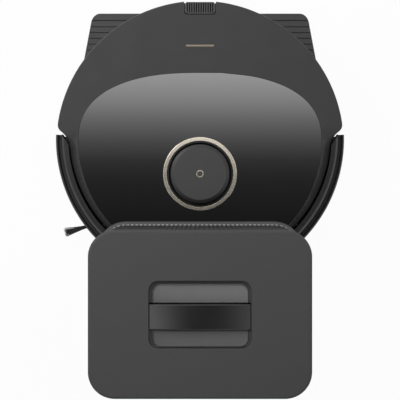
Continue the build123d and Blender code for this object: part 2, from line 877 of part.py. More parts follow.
with BuildPart() as scoop_hollow:
    with BuildSketch(Plane.XY.offset(scoop_top - scoop_depth)):
        with Locations((0, tower_y)):
            RectangleRounded(recess_width - 2 * scoop_wall, 2 * scoop_chord, recess_corner - scoop_wall / 2)
    extrude(amount=scoop_depth)
    with BuildSketch(Plane.YZ):
        with Locations((tower_y, scoop_axis)):
            Circle(scoop_radius)
    extrude(amount=recess_width, both=True, mode=Mode.INTERSECT)

with BuildPart() as lid_scoop:
    with BuildSketch(Plane.XY.offset(scoop_top - scoop_depth - scoop_floor)):
        with Locations((0, tower_y)):
            RectangleRounded(recess_width - 2 * run_gap, recess_depth - 2 * run_gap, recess_corner - run_gap)
    extrude(amount=scoop_depth + scoop_floor)
    add(scoop_hollow.part, mode=Mode.SUBTRACT)
    # seats for the ends of the handle
    with BuildSketch(Plane.XY.offset(handle_low)):
        with Locations((0, handle_y)):
            Rectangle(recess_width, handle_width + 2 * run_gap)
    extrude(amount=scoop_depth, mode=Mode.SUBTRACT)
write(lid_scoop, "lid_scoop")

with BuildPart() as lid_handle:
    span = recess_width / 2 - run_gap
    with BuildSketch(Plane.XZ.offset(-handle_y)):
        with BuildLine():
            ThreePointArc(
                (-span, handle_low + handle_thickness),
                (0, handle_low + handle_thickness + handle_crown),
                (span, handle_low + handle_thickness),
            )
            Line((span, handle_low + handle_thickness), (span, handle_low))
            ThreePointArc((span, handle_low), (0, handle_low + handle_crown), (-span, handle_low))
            Line((-span, handle_low), (-span, handle_low + handle_thickness))
        make_face()
    extrude(amount=handle_width / 2, both=True)
    fillet(lid_handle.edges().filter_by(GeomType.CIRCLE), handle_thickness / 4)
write(lid_handle, "lid_handle")


# Robot: chassis, shell and cover

def cover_outline(grow):
    """Plan of the cover: rear arc, front arc and a slanting notch between them on each side."""
    rear_end_y = robot_y + notch_rear
    rear_end = (sqrt(rear_radius**2 - (rear_end_y - rear_y) ** 2), rear_end_y)
    front_end_y = robot_y + notch_front
    front_end = (sqrt(cover_front_radius**2 - (front_end_y - front_y) ** 2), front_end_y)
    with BuildSketch() as outline:
        with BuildLine():
            ThreePointArc(rear_end, (0, rear_y + rear_radius), (-rear_end[0], rear_end[1]))
            Line((-rear_end[0], rear_end[1]), (-front_end[0], front_end[1]))
            ThreePointArc((-front_end[0], front_end[1]), (0, front_y - cover_front_radius), front_end)
            Line(front_end, rear_end)
        make_face()
        fillet(outline.vertices().group_by(Axis.Y)[-1], notch_corner)
        fillet(outline.vertices().group_by(Axis.Y)[0], notch_hollow)
        if grow:
            offset(amount=grow)
    return outline.sketch


def bin_outline(inset):
    """Plan of the dust bin: straight front and sides, and a rear flush with the shell."""
    with BuildSketch() as outline:
        with Locations((0, rear_y)):
            Circle(rear_radius - shell_inset - inset)
        with Locations((0, bin_front + rear_radius)):
            Rectangle(2 * (bin_half_width - inset), 2 * (rear_radius - inset), mode=Mode.INTERSECT)
    return outline.sketch


wheel_axle_z = ground + wheel_radius
pivot_z = ground + pivot_height
roller_z = ground + roller_height
chamber_half = roller_length / 2 + chamber_side
housing_half = chamber_half + brush_wall
guard_half = housing_half - 1.0
slot_front = pivot_y + arm_pivot_radius
slot_rear = wheel_y + wheel_radius + run_gap * 10
slot_inner = arm_inner - well_margin / 2
slot_outer = wheel_x + wheel_width / 2 + well_margin
pillar_radius = 3.5
pillar_height = 31.0
board_plan = (152.0, 60.0)
pillar_x = board_plan[0] / 2 - 2 * pillar_radius + 1
pillar_reach = board_plan[1] / 2 - 2 * pillar_radius
pillars = [(sx * pillar_x, battery_y + sy * pillar_reach) for sx in (1, -1) for sy in (1, -1)]
door_size = (100.0, 36.0)
screw_radius = 3.2
screw_sink = 1.2
screw_spots = [(46, -52), (86, 112)]
screws = [(side * x, y) for x, y in screw_spots for side in (1, -1)]
pad_radius = 6.0
window_size = (14.0, 7.0)
cliff_spots = [(67, -66), (141, 45)]
cliffs = [(side * x, y) for x, y in cliff_spots for side in (1, -1)]
motor_y = roller_y - brush_box_depth / 2 - brush_motor_radius - 1.0
motor_z = pivot_z
motor_ends = (-62.0, -8.0)
saddle_width = 6.0
saddle_top = motor_z - 0.4 * brush_motor_radius
caster_wall = 2.5
stem_boss_height = 8.0

with BuildPart() as chassis:
    with BuildSketch(Plane.XY.offset(belly)):
        add(cover_outline(-shell_inset))
    extrude(amount=floor_thickness)
    chamfer(chassis.faces().sort_by(Axis.Z)[0].edges(), floor_thickness / 2)
    # caster cup and the saddles of the roller's motor
    with BuildSketch(Plane.XY.offset(belly)):
        with Locations((0, caster_y)):
            Circle(caster_cup_radius + caster_wall)
    extrude(amount=ground + caster_cup_top + caster_wall - belly)
    with BuildSketch(Plane.XY.offset(belly)):
        with Locations((0, caster_y)):
            Circle(caster_stem_radius + caster_wall)
    extrude(amount=ground + caster_cup_top + stem_boss_height - belly)
    with BuildSketch(Plane.XY.offset(floor_top)):
        with Locations((motor_ends[0] + saddle_width, motor_y), (motor_ends[1] - saddle_width, motor_y)):
            Rectangle(saddle_width, 1.6 * brush_motor_radius)
    extrude(amount=saddle_top - floor_top)
    # pillars of the main board, and ears of the suspension pivots
    with BuildSketch(Plane.XY.offset(floor_top)):
        with Locations(*pillars):
            Circle(pillar_radius)
    extrude(amount=pillar_height)
    ear_inner = arm_inner - run_gap - ear_thickness
    ear_outer = arm_inner + arm_width + run_gap
    for start in (ear_inner, ear_outer, -ear_inner - ear_thickness, -ear_outer - ear_thickness):
        with BuildSketch(Plane.YZ.offset(start)):
            with Locations((pivot_y, pivot_z)):
                Circle(arm_pivot_radius - 2)
            with Locations((pivot_y, (pivot_z + floor_top) / 2)):
                Rectangle(2 * arm_pivot_radius - 4, pivot_z - floor_top)
        extrude(amount=ear_thickness)
    # openings in the floor: wheels, roller, battery door, side brush
    with BuildSketch(Plane.XY.offset(belly)):
        with Locations(((slot_inner + slot_outer) / 2, (slot_front + slot_rear) / 2),
                       (-(slot_inner + slot_outer) / 2, (slot_front + slot_rear) / 2)):
            Rectangle(slot_outer - slot_inner, slot_rear - slot_front)
        with Locations((0, roller_y)):
            Rectangle(2 * chamber_half, 2 * chamber_radius)
        with Locations((0, battery_y)):
            RectangleRounded(*door_size, 4)
        with Locations((side_brush_x, side_brush_y)):
            Circle(side_brush_stem_radius + run_gap)
    extrude(amount=floor_thickness, mode=Mode.SUBTRACT)
    # caster cup's inside and its stem bore
    with BuildSketch(Plane.XY.offset(belly)):
        with Locations((0, caster_y)):
            Circle(caster_cup_radius)
    extrude(amount=ground + caster_cup_top - belly, mode=Mode.SUBTRACT)
    with BuildSketch(Plane.XY.offset(belly)):
        with Locations((0, caster_y)):
            Circle(caster_stem_radius + pin_gap)
    extrude(amount=2 * caster_cup_top, mode=Mode.SUBTRACT)
    # motor saddles and pivot bores
    with BuildSketch(Plane.YZ):
        with Locations((motor_y, motor_z)):
            Circle(brush_motor_radius + set_gap)
    extrude(amount=housing_half, both=True, mode=Mode.SUBTRACT)
    with BuildSketch(Plane.YZ):
        with Locations((pivot_y, pivot_z)):
            Circle(pivot_pin_radius + pin_gap)
    extrude(amount=robot_radius, both=True, mode=Mode.SUBTRACT)
    # recesses in the belly: charging pads, cliff windows, screw heads
    with BuildSketch(Plane.XY.offset(belly)):
        with Locations(*contacts):
            Circle(pad_radius + set_gap)
        with Locations(*cliffs):
            RectangleRounded(window_size[0] + 2 * set_gap, window_size[1] + 2 * set_gap, 2)
        with Locations(*screws):
            Circle(screw_radius + set_gap)
    extrude(amount=screw_sink, mode=Mode.SUBTRACT)
write(chassis, "chassis")

with BuildPart() as charge_pads:
    with BuildSketch(Plane.XY.offset(belly)):
        with Locations(*contacts):
            Circle(pad_radius)
    extrude(amount=screw_sink)
write(charge_pads, "charge_pads")

with BuildPart() as sensor_windows:
    with BuildSketch(Plane.XY.offset(belly)):
        with Locations(*cliffs):
            RectangleRounded(*window_size, 2)
    extrude(amount=screw_sink)
write(sensor_windows, "sensor_windows")

with BuildPart() as chassis_screws:
    with BuildSketch(Plane.XY.offset(belly)):
        with Locations(*screws):
            Circle(screw_radius)
    extrude(amount=screw_sink)
    with BuildSketch(Plane.XY.offset(belly)):
        with Locations(*screws):
            Rectangle(screw_radius, screw_radius / 4)
            Rectangle(screw_radius / 4, screw_radius)
    extrude(amount=screw_sink / 2, mode=Mode.SUBTRACT)
write(chassis_screws, "chassis_screws")

with BuildPart() as battery_door:
    with BuildSketch(Plane.XY.offset(belly)):
        with Locations((0, battery_y)):
            RectangleRounded(door_size[0] - 2 * run_gap, door_size[1] - 2 * run_gap, 4 - run_gap)
    extrude(amount=floor_thickness)
write(battery_door, "battery_door")

with BuildPart() as battery:
    with BuildSketch(Plane.XY.offset(floor_top)):
        with Locations((0, battery_y)):
            RectangleRounded(battery_width, battery_length, 5)
    extrude(amount=battery_height)
    fillet(battery.faces().sort_by(Axis.Z)[-1].edges(), 2)
write(battery, "battery")

board_bottom = floor_top + pillar_height
with BuildPart() as main_board:
    with BuildSketch(Plane.XY.offset(board_bottom)):
        with Locations((0, battery_y)):
            RectangleRounded(*board_plan, 3)
    extrude(amount=board_thickness)
    with BuildSketch(Plane.XY.offset(board_bottom + board_thickness)):
        with Locations((0, battery_y)):
            with GridLocations(board_plan[0] / 4, board_plan[1] / 2.6, 4, 2):
                Rectangle(board_plan[0] / 9, board_plan[1] / 4)
    extrude(amount=2 * board_thickness)
write(main_board, "main_board")

motor_can_height = 29.0
with BuildPart() as brush_motors:
    with BuildSketch(Plane.YZ.offset(motor_ends[0])):
        with Locations((motor_y, motor_z)):
            Circle(brush_motor_radius)
    extrude(amount=motor_ends[1] - motor_ends[0])
    with BuildSketch(Plane.XY.offset(floor_top)):
        with Locations((side_brush_x, side_brush_y)):
            Circle(brush_motor_radius)
    extrude(amount=motor_can_height)
    with BuildSketch(Plane.XY.offset(floor_top)):
        with Locations((side_brush_x, side_brush_y)):
            Circle(side_brush_stem_radius + pin_gap)
    extrude(amount=motor_can_height / 2, mode=Mode.SUBTRACT)
write(brush_motors, "brush_motors")

guide_angles = (25.0, 62.0)
guide_width = 12.0
guide_reach = 12.0
flange_low = ground + bumper_bottom
flange_high = flange_low + bumper_flange
shell_front_radius = cover_front_radius - shell_inset
bin_lid_top = ground + bin_top + bin_lid_thickness
latch_back = rear_y + rear_radius - shell_inset - 1.0
latch_front = latch_back - latch_depth
latch_margin = 1.3
latch_high = cover_top - latch_sink
latch_low = latch_high - latch_height

with BuildPart() as side_shell:
    with BuildSketch(Plane.XY.offset(floor_top)):
        add(cover_outline(-shell_inset))
        add(cover_outline(-shell_inset - shell_wall), mode=Mode.SUBTRACT)
    extrude(amount=cover_bottom - floor_top)
    # rear opening for the bin, and the latch's notch above it
    with BuildSketch(Plane.XY.offset(floor_top)):
        with Locations((0, rear_y + rear_radius)):
            Rectangle(2 * (bin_half_width + run_gap), rear_radius)
    extrude(amount=bin_lid_top + run_gap - floor_top, mode=Mode.SUBTRACT)
    with BuildSketch(Plane.XY.offset(floor_top)):
        with Locations((0, rear_y + rear_radius)):
            Rectangle(latch_width + 2 * latch_margin, rear_radius / 4)
    extrude(amount=cover_top - floor_top, mode=Mode.SUBTRACT)
    # guides above and below the bumper's flange
    for angle in guide_angles:
        for side in (1, -1):
            out = (side * sin(radians(angle)), -cos(radians(angle)))
            middle = shell_front_radius + guide_reach / 2 - shell_wall / 2
            for low, high in ((floor_top, flange_low - run_gap),
                              (flange_high + run_gap, flange_high + run_gap + bumper_flange)):
                guide_at = (out[0] * middle, front_y + out[1] * middle, low)
                guide_plane = Plane(guide_at, x_dir=(out[0], out[1], 0), z_dir=(0, 0, 1))
                with BuildSketch(guide_plane):
                    Rectangle(guide_reach + shell_wall / 2, guide_width)
                extrude(amount=high - low)
write(side_shell, "side_shell")

panel_y = front_y - cover_front_radius + panel_border + panel_half_width


def panel_outline(grow):
    """Plan of the gloss panel: a round front and a fuller, flatter rear."""
    radius = panel_half_width + grow
    steps = 10
    half = []
    for i in range(steps + 1):
        turn = pi / 2 * i / steps
        across = max(cos(turn), 0) ** (2 / panel_fullness)
        back = sin(turn) ** (2 / panel_fullness)
        half.append((radius * across, panel_y + (panel_rear + grow) * back))
    half[-1] = (0, half[-1][1])
    mirrored = [(-x, y) for x, y in reversed(half)]
    with BuildSketch() as outline:
        with BuildLine():
            Spline(*half, tangents=[(0, 1), (-1, 0)])
            Spline(*mirrored, tangents=[(-1, 0), (0, -1)])
            ThreePointArc((-radius, panel_y), (0, panel_y - radius), (radius, panel_y))
        make_face()
    return outline.sketch


well_outer = bezel_radius - bezel_width - run_gap
well_inner = well_outer - well_wall
cap_radius = well_inner - cap_gap
post_circle = cap_radius - cap_post_inset
head_radius = post_circle - cap_post_radius - head_gap
well_bottom = cover_top - well_depth
well_floor_top = well_bottom + well_floor
cap_bottom = lidar_top - cap_thickness
inlay_size = (34.0, 2.0)
inlay_depth = 0.8

with BuildPart() as top_cover:
    with BuildSketch(Plane.XY.offset(cover_bottom)):
        add(cover_outline(0))
    extrude(amount=cover_thickness)
    fillet(top_cover.faces().sort_by(Axis.Z)[-1].edges(), cover_round)
    with BuildSketch(Plane.XY.offset(panel_top - panel_thickness)):
        add(panel_outline(panel_gap))
    extrude(amount=cover_thickness, mode=Mode.SUBTRACT)
    with BuildSketch(Plane.XY.offset(cover_bottom)):
        with Locations((0, lidar_y)):
            Circle(well_outer + run_gap)
        with Locations((0, latch_front - latch_margin + rear_radius / 8)):
            RectangleRounded(latch_width + 2 * latch_margin, rear_radius / 4, latch_corner + latch_margin)
    extrude(amount=cover_thickness, mode=Mode.SUBTRACT)
    with BuildSketch(Plane.XY.offset(cover_top)):
        with Locations((0, inlay_y)):
            SlotOverall(inlay_size[0] + 2 * set_gap, inlay_size[1] + 2 * set_gap)
    extrude(amount=-inlay_depth, mode=Mode.SUBTRACT)
write(top_cover, "top_cover")

with BuildPart() as rear_inlay:
    with BuildSketch(Plane.XY.offset(cover_top)):
        with Locations((0, inlay_y)):
            SlotOverall(*inlay_size)
    extrude(amount=-inlay_depth)
write(rear_inlay, "rear_inlay")

with BuildPart() as gloss_panel:
    with BuildSketch(Plane.XY.offset(panel_top - panel_thickness)):
        add(panel_outline(0))
    extrude(amount=panel_thickness)
    with BuildSketch(Plane.XY.offset(panel_top - panel_thickness)):
        with Locations((0, lidar_y)):
            Circle(well_outer + run_gap)
    extrude(amount=panel_thickness, mode=Mode.SUBTRACT)
write(gloss_panel, "gloss_panel")

# Lidar turret
posts = [(post_circle * cos(radians(30 + 360 * i / cap_posts)),
          lidar_y + post_circle * sin(radians(30 + 360 * i / cap_posts))) for i in range(cap_posts)]
boss_top = well_floor_top + boss_height
head_low = boss_top + head_lift
head_high = cap_bottom - cap_travel - 2 * run_gap

with BuildPart() as lidar_ring:
    with BuildSketch(Plane.XY.offset(panel_top)):
        with Locations((0, lidar_y)):
            Circle(bezel_radius)
            Circle(bezel_radius - bezel_width, mode=Mode.SUBTRACT)
    extrude(amount=bezel_height)
    fillet(lidar_ring.faces().sort_by(Axis.Z)[-1].edges(), bezel_height / 3)
write(lidar_ring, "lidar_ring")

with BuildPart() as lidar_well:
    with BuildSketch(Plane.XY.offset(well_bottom)):
        with Locations((0, lidar_y)):
            Circle(well_outer)
    extrude(amount=panel_top + bezel_height - run_gap - well_bottom)
    with BuildSketch(Plane.XY.offset(well_floor_top)):
        with Locations((0, lidar_y)):
            Circle(well_inner)
    extrude(amount=2 * well_depth, mode=Mode.SUBTRACT)
    with BuildSketch(Plane.XY.offset(well_floor_top)):
        with Locations(*posts):
            Circle(cap_post_radius + boss_wall)
            Circle(cap_post_radius + pin_gap, mode=Mode.SUBTRACT)
    extrude(amount=boss_height)
    with BuildSketch(Plane.XY.offset(well_floor_top)):
        with Locations((0, lidar_y)):
            Circle(lidar_shaft_radius)
    extrude(amount=head_low + head_disc - 1.0 - well_floor_top)
write(lidar_well, "lidar_well")

with BuildPart() as lidar_head:
    with BuildSketch(Plane.XY.offset(head_low)):
        with Locations((0, lidar_y)):
            Circle(head_radius)
    extrude(amount=head_disc)
    with BuildSketch(Plane.XY.offset(head_low + head_disc)):
        with Locations((0, lidar_y)):
            Circle(head_radius - head_step)
    extrude(amount=head_high - head_low - head_disc)
    with BuildSketch(Plane.XY.offset(head_low)):
        with Locations((0, lidar_y)):
            Circle(lidar_shaft_radius + pin_gap)
    extrude(amount=head_disc, mode=Mode.SUBTRACT)
    # flat that carries the lenses, facing the dock
    lens_y = lidar_y - 0.8 * (head_radius - head_step)
    with BuildSketch(Plane.XZ.offset(-lens_y)):
        with Locations((0, head_low + head_disc + head_disc)):
            Rectangle(2 * head_radius, 2 * head_disc)
    extrude(amount=head_radius, mode=Mode.SUBTRACT)
write(lidar_head, "lidar_head")

with BuildPart() as lidar_lenses:
    with BuildSketch(Plane.XZ.offset(-lens_y)):
        with Locations((0, (head_low + head_disc + head_high) / 2)):
            with GridLocations(lens_spacing, 0, 2, 1):
                Circle(lens_radius)
    extrude(amount=lens_thickness)
write(lidar_lenses, "lidar_lenses")

with BuildPart() as lidar_cap:
    with BuildSketch(Plane.XY.offset(cap_bottom)):
        with Locations((0, lidar_y)):
            Circle(cap_radius)
    extrude(amount=cap_thickness)
    chamfer(lidar_cap.edges().group_by(Axis.Z)[-1], cap_thickness / 3, cap_round)
    with BuildSketch(Plane.XY.offset(lidar_top)):
        with Locations((0, lidar_y)):
            Circle(cap_mark_radius + set_gap)
            Circle(cap_mark_radius - cap_mark_width - set_gap, mode=Mode.SUBTRACT)
    extrude(amount=-inlay_depth, mode=Mode.SUBTRACT)
    with BuildSketch(Plane.XY.offset(cap_bottom)):
        with Locations(*posts):
            Circle(cap_post_radius)
    extrude(amount=well_floor_top + cap_travel + run_gap - cap_bottom)
write(lidar_cap, "lidar_cap")

with BuildPart() as cap_inlay:
    with BuildSketch(Plane.XY.offset(lidar_top)):
        with Locations((0, lidar_y)):
            Circle(cap_mark_radius)
            Circle(cap_mark_radius - cap_mark_width, mode=Mode.SUBTRACT)
    extrude(amount=-inlay_depth)
write(cap_inlay, "cap_inlay")

# Bumper
round_about = Plane((0, robot_y, ground), x_dir=(1, 0, 0), z_dir=(0, -1, 0))
skirt_inner = robot_radius - bumper_wall
flange_inner = shell_front_radius + bumper_travel + flange_clear
groove_floor = bumper_lip - groove_sink
crown_inner = cover_front_radius + bumper_gap - crown_drop
with BuildPart() as bumper:
    with BuildSketch(round_about):
        with BuildLine():
            Polyline(
                (flange_inner, bumper_bottom),
                (robot_radius - foot_bevel[0], bumper_bottom),
                (robot_radius, bumper_bottom + foot_bevel[1]),
                (robot_radius, bumper_lip - lip_bevel[1]),
                (robot_radius - lip_bevel[0], bumper_lip),
                (robot_radius - lip_width, bumper_lip),
                (robot_radius - lip_width - lip_lean, groove_floor),
                (ridge_radius + ridge_lean, groove_floor),
                (ridge_radius, bumper_top - ridge_bevel[1]),
                (ridge_radius - ridge_bevel[0], bumper_top - crown_drop),
                (crown_inner, bumper_top),
                (crown_inner, bumper_top - bumper_wall),
                (ridge_radius - ridge_bevel[0] - bumper_wall / 2, bumper_top - crown_drop - bumper_wall),
                (ridge_radius - bumper_wall, bumper_top - ridge_bevel[1] - crown_drop / 2),
                (ridge_radius - bumper_wall + ridge_lean, groove_floor - bumper_wall),
                (skirt_inner, groove_floor - bumper_wall),
                (skirt_inner, bumper_bottom + bumper_flange),
                (flange_inner, bumper_bottom + bumper_flange),
                close=True,
            )
        make_face()
    revolve(axis=Axis((0, robot_y, 0), (0, 0, 1)))
    # only the front half is kept, clear of the cover and the shell
    with BuildSketch(Plane.XY.offset(ground)):
        with Locations((0, robot_y + bumper_wrap + robot_radius)):
            Rectangle(3 * robot_radius, 2 * robot_radius)
    extrude(amount=robot_height, mode=Mode.SUBTRACT)
    for press in (0, -bumper_travel):
        with BuildSketch(Plane((0, press, ground))):
            add(cover_outline(bumper_gap))
        extrude(amount=robot_height, mode=Mode.SUBTRACT)
    add(ring_sector(robot_radius - window_thickness, robot_radius + 1, window_angle,
                    ground + window_low, ground + window_high), mode=Mode.SUBTRACT)
write(bumper, "bumper")

with BuildPart() as bumper_window:
    trim = degrees(run_gap / robot_radius)
    add(ring_sector(robot_radius - window_thickness + set_gap, robot_radius - set_gap, window_angle - trim,
                    ground + window_low + run_gap, ground + window_high - run_gap))
write(bumper_window, "bumper_window")

# Drive wheels: the robot's own left is +X
axle_end = wheel_x + wheel_width / 2
hub_radius = wheel_radius - tyre_thickness
for side, hand in ((1, "left"), (-1, "right")):

    def across(x):
        """Side-view plane at distance x from the middle, drawn towards the outside."""
        return Plane((side * x, 0, 0), x_dir=(0, side, 0), z_dir=(side, 0, 0))

    pivot_at = (side * pivot_y, pivot_z)
    axle_at = (side * wheel_y, wheel_axle_z)
    with BuildPart() as arm:
        with BuildSketch(across(arm_inner)):
            with Locations(pivot_at):
                Circle(arm_pivot_radius)
            with Locations(axle_at):
                Circle(arm_wheel_radius)
            make_hull()
        extrude(amount=arm_width)
        with BuildSketch(across(arm_inner - run_gap - ear_thickness)):
            with Locations(pivot_at):
                Circle(pivot_pin_radius)
        extrude(amount=arm_width + 2 * run_gap + 2 * ear_thickness)
        with BuildSketch(across(arm_inner)):
            with Locations(axle_at):
                Circle(axle_radius)
        extrude(amount=axle_end - arm_inner)
    write(arm, f"{hand}_arm")

    with BuildPart() as hub:
        with BuildSketch(across(wheel_x - wheel_width / 2)):
            with Locations(axle_at):
                Circle(hub_radius)
        extrude(amount=wheel_width)
        with BuildSketch(across(axle_end)):
            with Locations(axle_at):
                Circle(hub_radius - hub_rim)
                Circle(axle_radius + hub_boss, mode=Mode.SUBTRACT)
        extrude(amount=-wheel_width / 3, mode=Mode.SUBTRACT)
        with BuildSketch(across(wheel_x - wheel_width / 2)):
            with Locations(axle_at):
                Circle(axle_radius + pin_gap)
        extrude(amount=wheel_width, mode=Mode.SUBTRACT)
    write(hub, f"{hand}_hub")

    with BuildPart() as tyre:
        with BuildSketch(across(wheel_x - wheel_width / 2)):
            with Locations(axle_at):
                Circle(wheel_radius)
                Circle(hub_radius, mode=Mode.SUBTRACT)
                with PolarLocations(wheel_radius, tread_count, start_angle=90 + 180 / tread_count):
                    Rectangle(2 * tread_depth, tread_width, mode=Mode.SUBTRACT)
        extrude(amount=wheel_width)
    write(tyre, f"{hand}_tyre")

# Caster
caster_axle_y = caster_y + caster_trail
caster_axle_z = ground + caster_radius
caster_pin_radius = 2.0
cheek_gap = 0.6
cheek_thickness = 3.0
with BuildPart() as caster_fork:
    with BuildSketch(Plane.XY.offset(ground + caster_disc_height)):
        with Locations((0, caster_y)):
            Circle(caster_disc_radius)
    extrude(amount=caster_cup_top - run_gap - caster_disc_height)
    with BuildSketch(Plane.XY.offset(ground + caster_disc_height)):
        with Locations((0, caster_y)):
            Circle(caster_stem_radius)
    extrude(amount=caster_cup_top + stem_boss_height - caster_disc_height)
    for side in (1, -1):
        cheek_middle = side * (caster_width / 2 + cheek_gap + cheek_thickness / 2)
        with BuildSketch(Plane.YZ.offset(cheek_middle)):
            with Locations((caster_axle_y, caster_axle_z)):
                Circle(2.5 * caster_pin_radius)
            with Locations((caster_axle_y, (caster_axle_z + ground + caster_disc_height) / 2)):
                Rectangle(5 * caster_pin_radius, ground + caster_disc_height - caster_axle_z)
        extrude(amount=cheek_thickness / 2, both=True)
    with BuildSketch(Plane.YZ.offset(-caster_width / 2 - cheek_gap)):
        with Locations((caster_axle_y, caster_axle_z)):
            Circle(caster_pin_radius)
    extrude(amount=caster_width + 2 * cheek_gap)
write(caster_fork, "caster_fork")

with BuildPart() as caster_wheel:
    with BuildSketch(Plane.YZ.offset(-caster_width / 2)):
        with Locations((caster_axle_y, caster_axle_z)):
            Circle(caster_radius)
    extrude(amount=caster_width)
    fillet(caster_wheel.edges().filter_by(GeomType.CIRCLE), caster_width / 6)
    with BuildSketch(Plane.YZ.offset(-caster_width / 2)):
        with Locations((caster_axle_y, caster_axle_z)):
            Circle(caster_pin_radius + pin_gap)
    extrude(amount=caster_width, mode=Mode.SUBTRACT)
write(caster_wheel, "caster_wheel")

# Main roller and its housing
housing_top = ground + brush_box_top
mouth_wall = 2.0
with BuildPart() as brush_housing:
    with BuildSketch(Plane.XY.offset(floor_top)):
        with Locations((0, roller_y)):
            Rectangle(2 * housing_half, brush_box_depth)
    extrude(amount=housing_top - floor_top)
    fillet(brush_housing.faces().sort_by(Axis.Z)[-1].edges(), 4)
    # mouth towards the bin
    mouth_middle = ground + (mouth_low + mouth_high) / 2
    mouth_tall = mouth_high - mouth_low
    mouth_end = bin_front - run_gap
    with BuildSketch(Plane.XZ.offset(-roller_y)):
        with Locations((0, mouth_middle)):
            Rectangle(mouth_width + 2 * mouth_wall, mouth_tall + 2 * mouth_wall)
    extrude(amount=roller_y - mouth_end)
    with BuildSketch(Plane.XZ.offset(-roller_y)):
        with Locations((0, mouth_middle)):
            Rectangle(mouth_width, mouth_tall)
    extrude(amount=roller_y - mouth_end, mode=Mode.SUBTRACT)
    # chamber, open below, and the journals' bores
    with BuildSketch(Plane.YZ):
        with Locations((roller_y, roller_z)):
            Circle(chamber_radius)
        with Locations((roller_y, roller_z - chamber_radius)):
            Rectangle(2 * chamber_radius, 2 * chamber_radius)
    extrude(amount=chamber_half, both=True, mode=Mode.SUBTRACT)
    with BuildSketch(Plane.YZ):
        with Locations((roller_y, roller_z)):
            Circle(journal_radius + pin_gap)
    extrude(amount=housing_half, both=True, mode=Mode.SUBTRACT)
write(brush_housing, "brush_housing")

with BuildPart() as brush_guard:
    with BuildSketch(Plane.XY.offset(belly)):
        with Locations((0, roller_y)):
            RectangleRounded(2 * guard_half, brush_box_depth, 4)
            RectangleRounded(2 * chamber_half - 2, 2 * fin_radius + 2, 2, mode=Mode.SUBTRACT)
    extrude(amount=-guard_thickness)
    chamfer(brush_guard.faces().sort_by(Axis.Z)[0].outer_wire().edges(), guard_thickness / 2)
write(brush_guard, "brush_guard")

with BuildPart() as roller_core:
    with BuildSketch(Plane.YZ):
        with Locations((roller_y, roller_z)):
            Circle(core_radius)
    extrude(amount=roller_length / 2, both=True)
    with BuildSketch(Plane.YZ):
        with Locations((roller_y, roller_z)):
            Circle(journal_radius)
    extrude(amount=housing_half - run_gap, both=True)
write(roller_core, "roller_core")


def roller_plane(x, turn):
    """Plane across the roller at x, turned about its axis."""
    return Plane((x, roller_y, roller_z), x_dir=(0, cos(radians(turn)), sin(radians(turn))), z_dir=(1, 0, 0))


with BuildPart() as roller_fins:
    with BuildSketch(Plane.YZ):
        with Locations((roller_y, roller_z)):
            Circle(sleeve_radius)
    extrude(amount=roller_length / 2, both=True)
    fin_root = sleeve_radius - 1.0
    for i in range(fin_count):
        turn = 360 * i / fin_count
        for half in (-1, 1):
            for x, twist in ((0, fin_twist / 2), (half * roller_length / 2, 0)):
                with BuildSketch(roller_plane(x, turn + twist)):
                    with Locations(((fin_root + fin_radius) / 2, 0)):
                        Rectangle(fin_radius - fin_root, fin_thickness)
            loft(ruled=True)
    with BuildSketch(Plane.YZ):
        with Locations((roller_y, roller_z)):
            Circle(core_radius + set_gap)
    extrude(amount=roller_length, both=True, mode=Mode.SUBTRACT)
write(roller_fins, "roller_fins")

# Side brush: a hub with three sprung bundles of bristles
bundle_z = ground + (side_brush_low + side_brush_high) / 2
ferrule_length = 4.0
arm_size = (7.0, 4.4)
brush_centre = (side_brush_x, side_brush_y)
with BuildPart() as side_brush_hub:
    with BuildSketch(Plane.XY.offset(ground + side_brush_low)):
        with Locations(brush_centre):
            Circle(side_brush_hub_radius)
    extrude(amount=side_brush_high - side_brush_low)
    fillet(side_brush_hub.edges().group_by(Axis.Z)[0], 2)
    with BuildSketch(Plane.XY.offset(bundle_z - arm_size[1] / 2)):
        with Locations(brush_centre):
            with PolarLocations(0, side_brush_arms, start_angle=side_brush_angle):
                with Locations((bundle_root / 2, 0)):
                    Rectangle(bundle_root, arm_size[0])
    extrude(amount=arm_size[1])
    with BuildSketch(Plane.XY.offset(ground + side_brush_low)):
        with Locations(brush_centre):
            Circle(side_brush_stem_radius)
    extrude(amount=floor_top + motor_can_height / 2 - run_gap - ground - side_brush_low)
write(side_brush_hub, "side_brush_hub")


def strand_ring(plane, across, up):
    """Three-sided section of one strand at a place on a bundle's cross-section."""
    turns = [radians(angle) for angle in (90, 210, 330)]
    corners = [(across + strand_radius * cos(turn), up + strand_radius * sin(turn)) for turn in turns]
    return Wire.make_polygon([plane.from_local_coords(Vector(x, y, 0)) for x, y in corners])


def bundle(angle):
    """Ferrule slice with its strands, spreading from root to tip."""
    out = Vector(cos(radians(angle)), sin(radians(angle)), 0)
    aside = Vector(-sin(radians(angle)), cos(radians(angle)), 0)
    middle = Vector(side_brush_x, side_brush_y, bundle_z)
    root = Plane(middle + out * (bundle_root + ferrule_length / 2), x_dir=aside, z_dir=out)
    tip = Plane(middle + out * side_brush_reach, x_dir=aside, z_dir=out)
    strands = []
    for i in range(strands_across):
        for j in range(strands_up):
            across = i / (strands_across - 1) - 0.5
            up = j / (strands_up - 1) - 0.5
            rings = [
                strand_ring(root, across * bundle_root_size[0], up * bundle_root_size[1]),
                strand_ring(tip, across * bundle_tip_size[0], up * bundle_tip_size[1]),
            ]
            strands.append(Solid.make_loft(rings, True))
    with BuildPart() as ferrule:
        with BuildSketch(Plane(middle + out * bundle_root, x_dir=aside, z_dir=out)):
            Rectangle(*arm_size)
        extrude(amount=ferrule_length)
    return ferrule.part.solids()[0].fuse(*strands)


first_bundle = bundle(side_brush_angle)
brush_axis = Axis((side_brush_x, side_brush_y, 0), (0, 0, 1))
with BuildPart() as side_brush_bristles:
    for i in range(side_brush_arms):
        add(first_bundle.rotate(brush_axis, 360 * i / side_brush_arms))
write(side_brush_bristles, "side_brush_bristles")

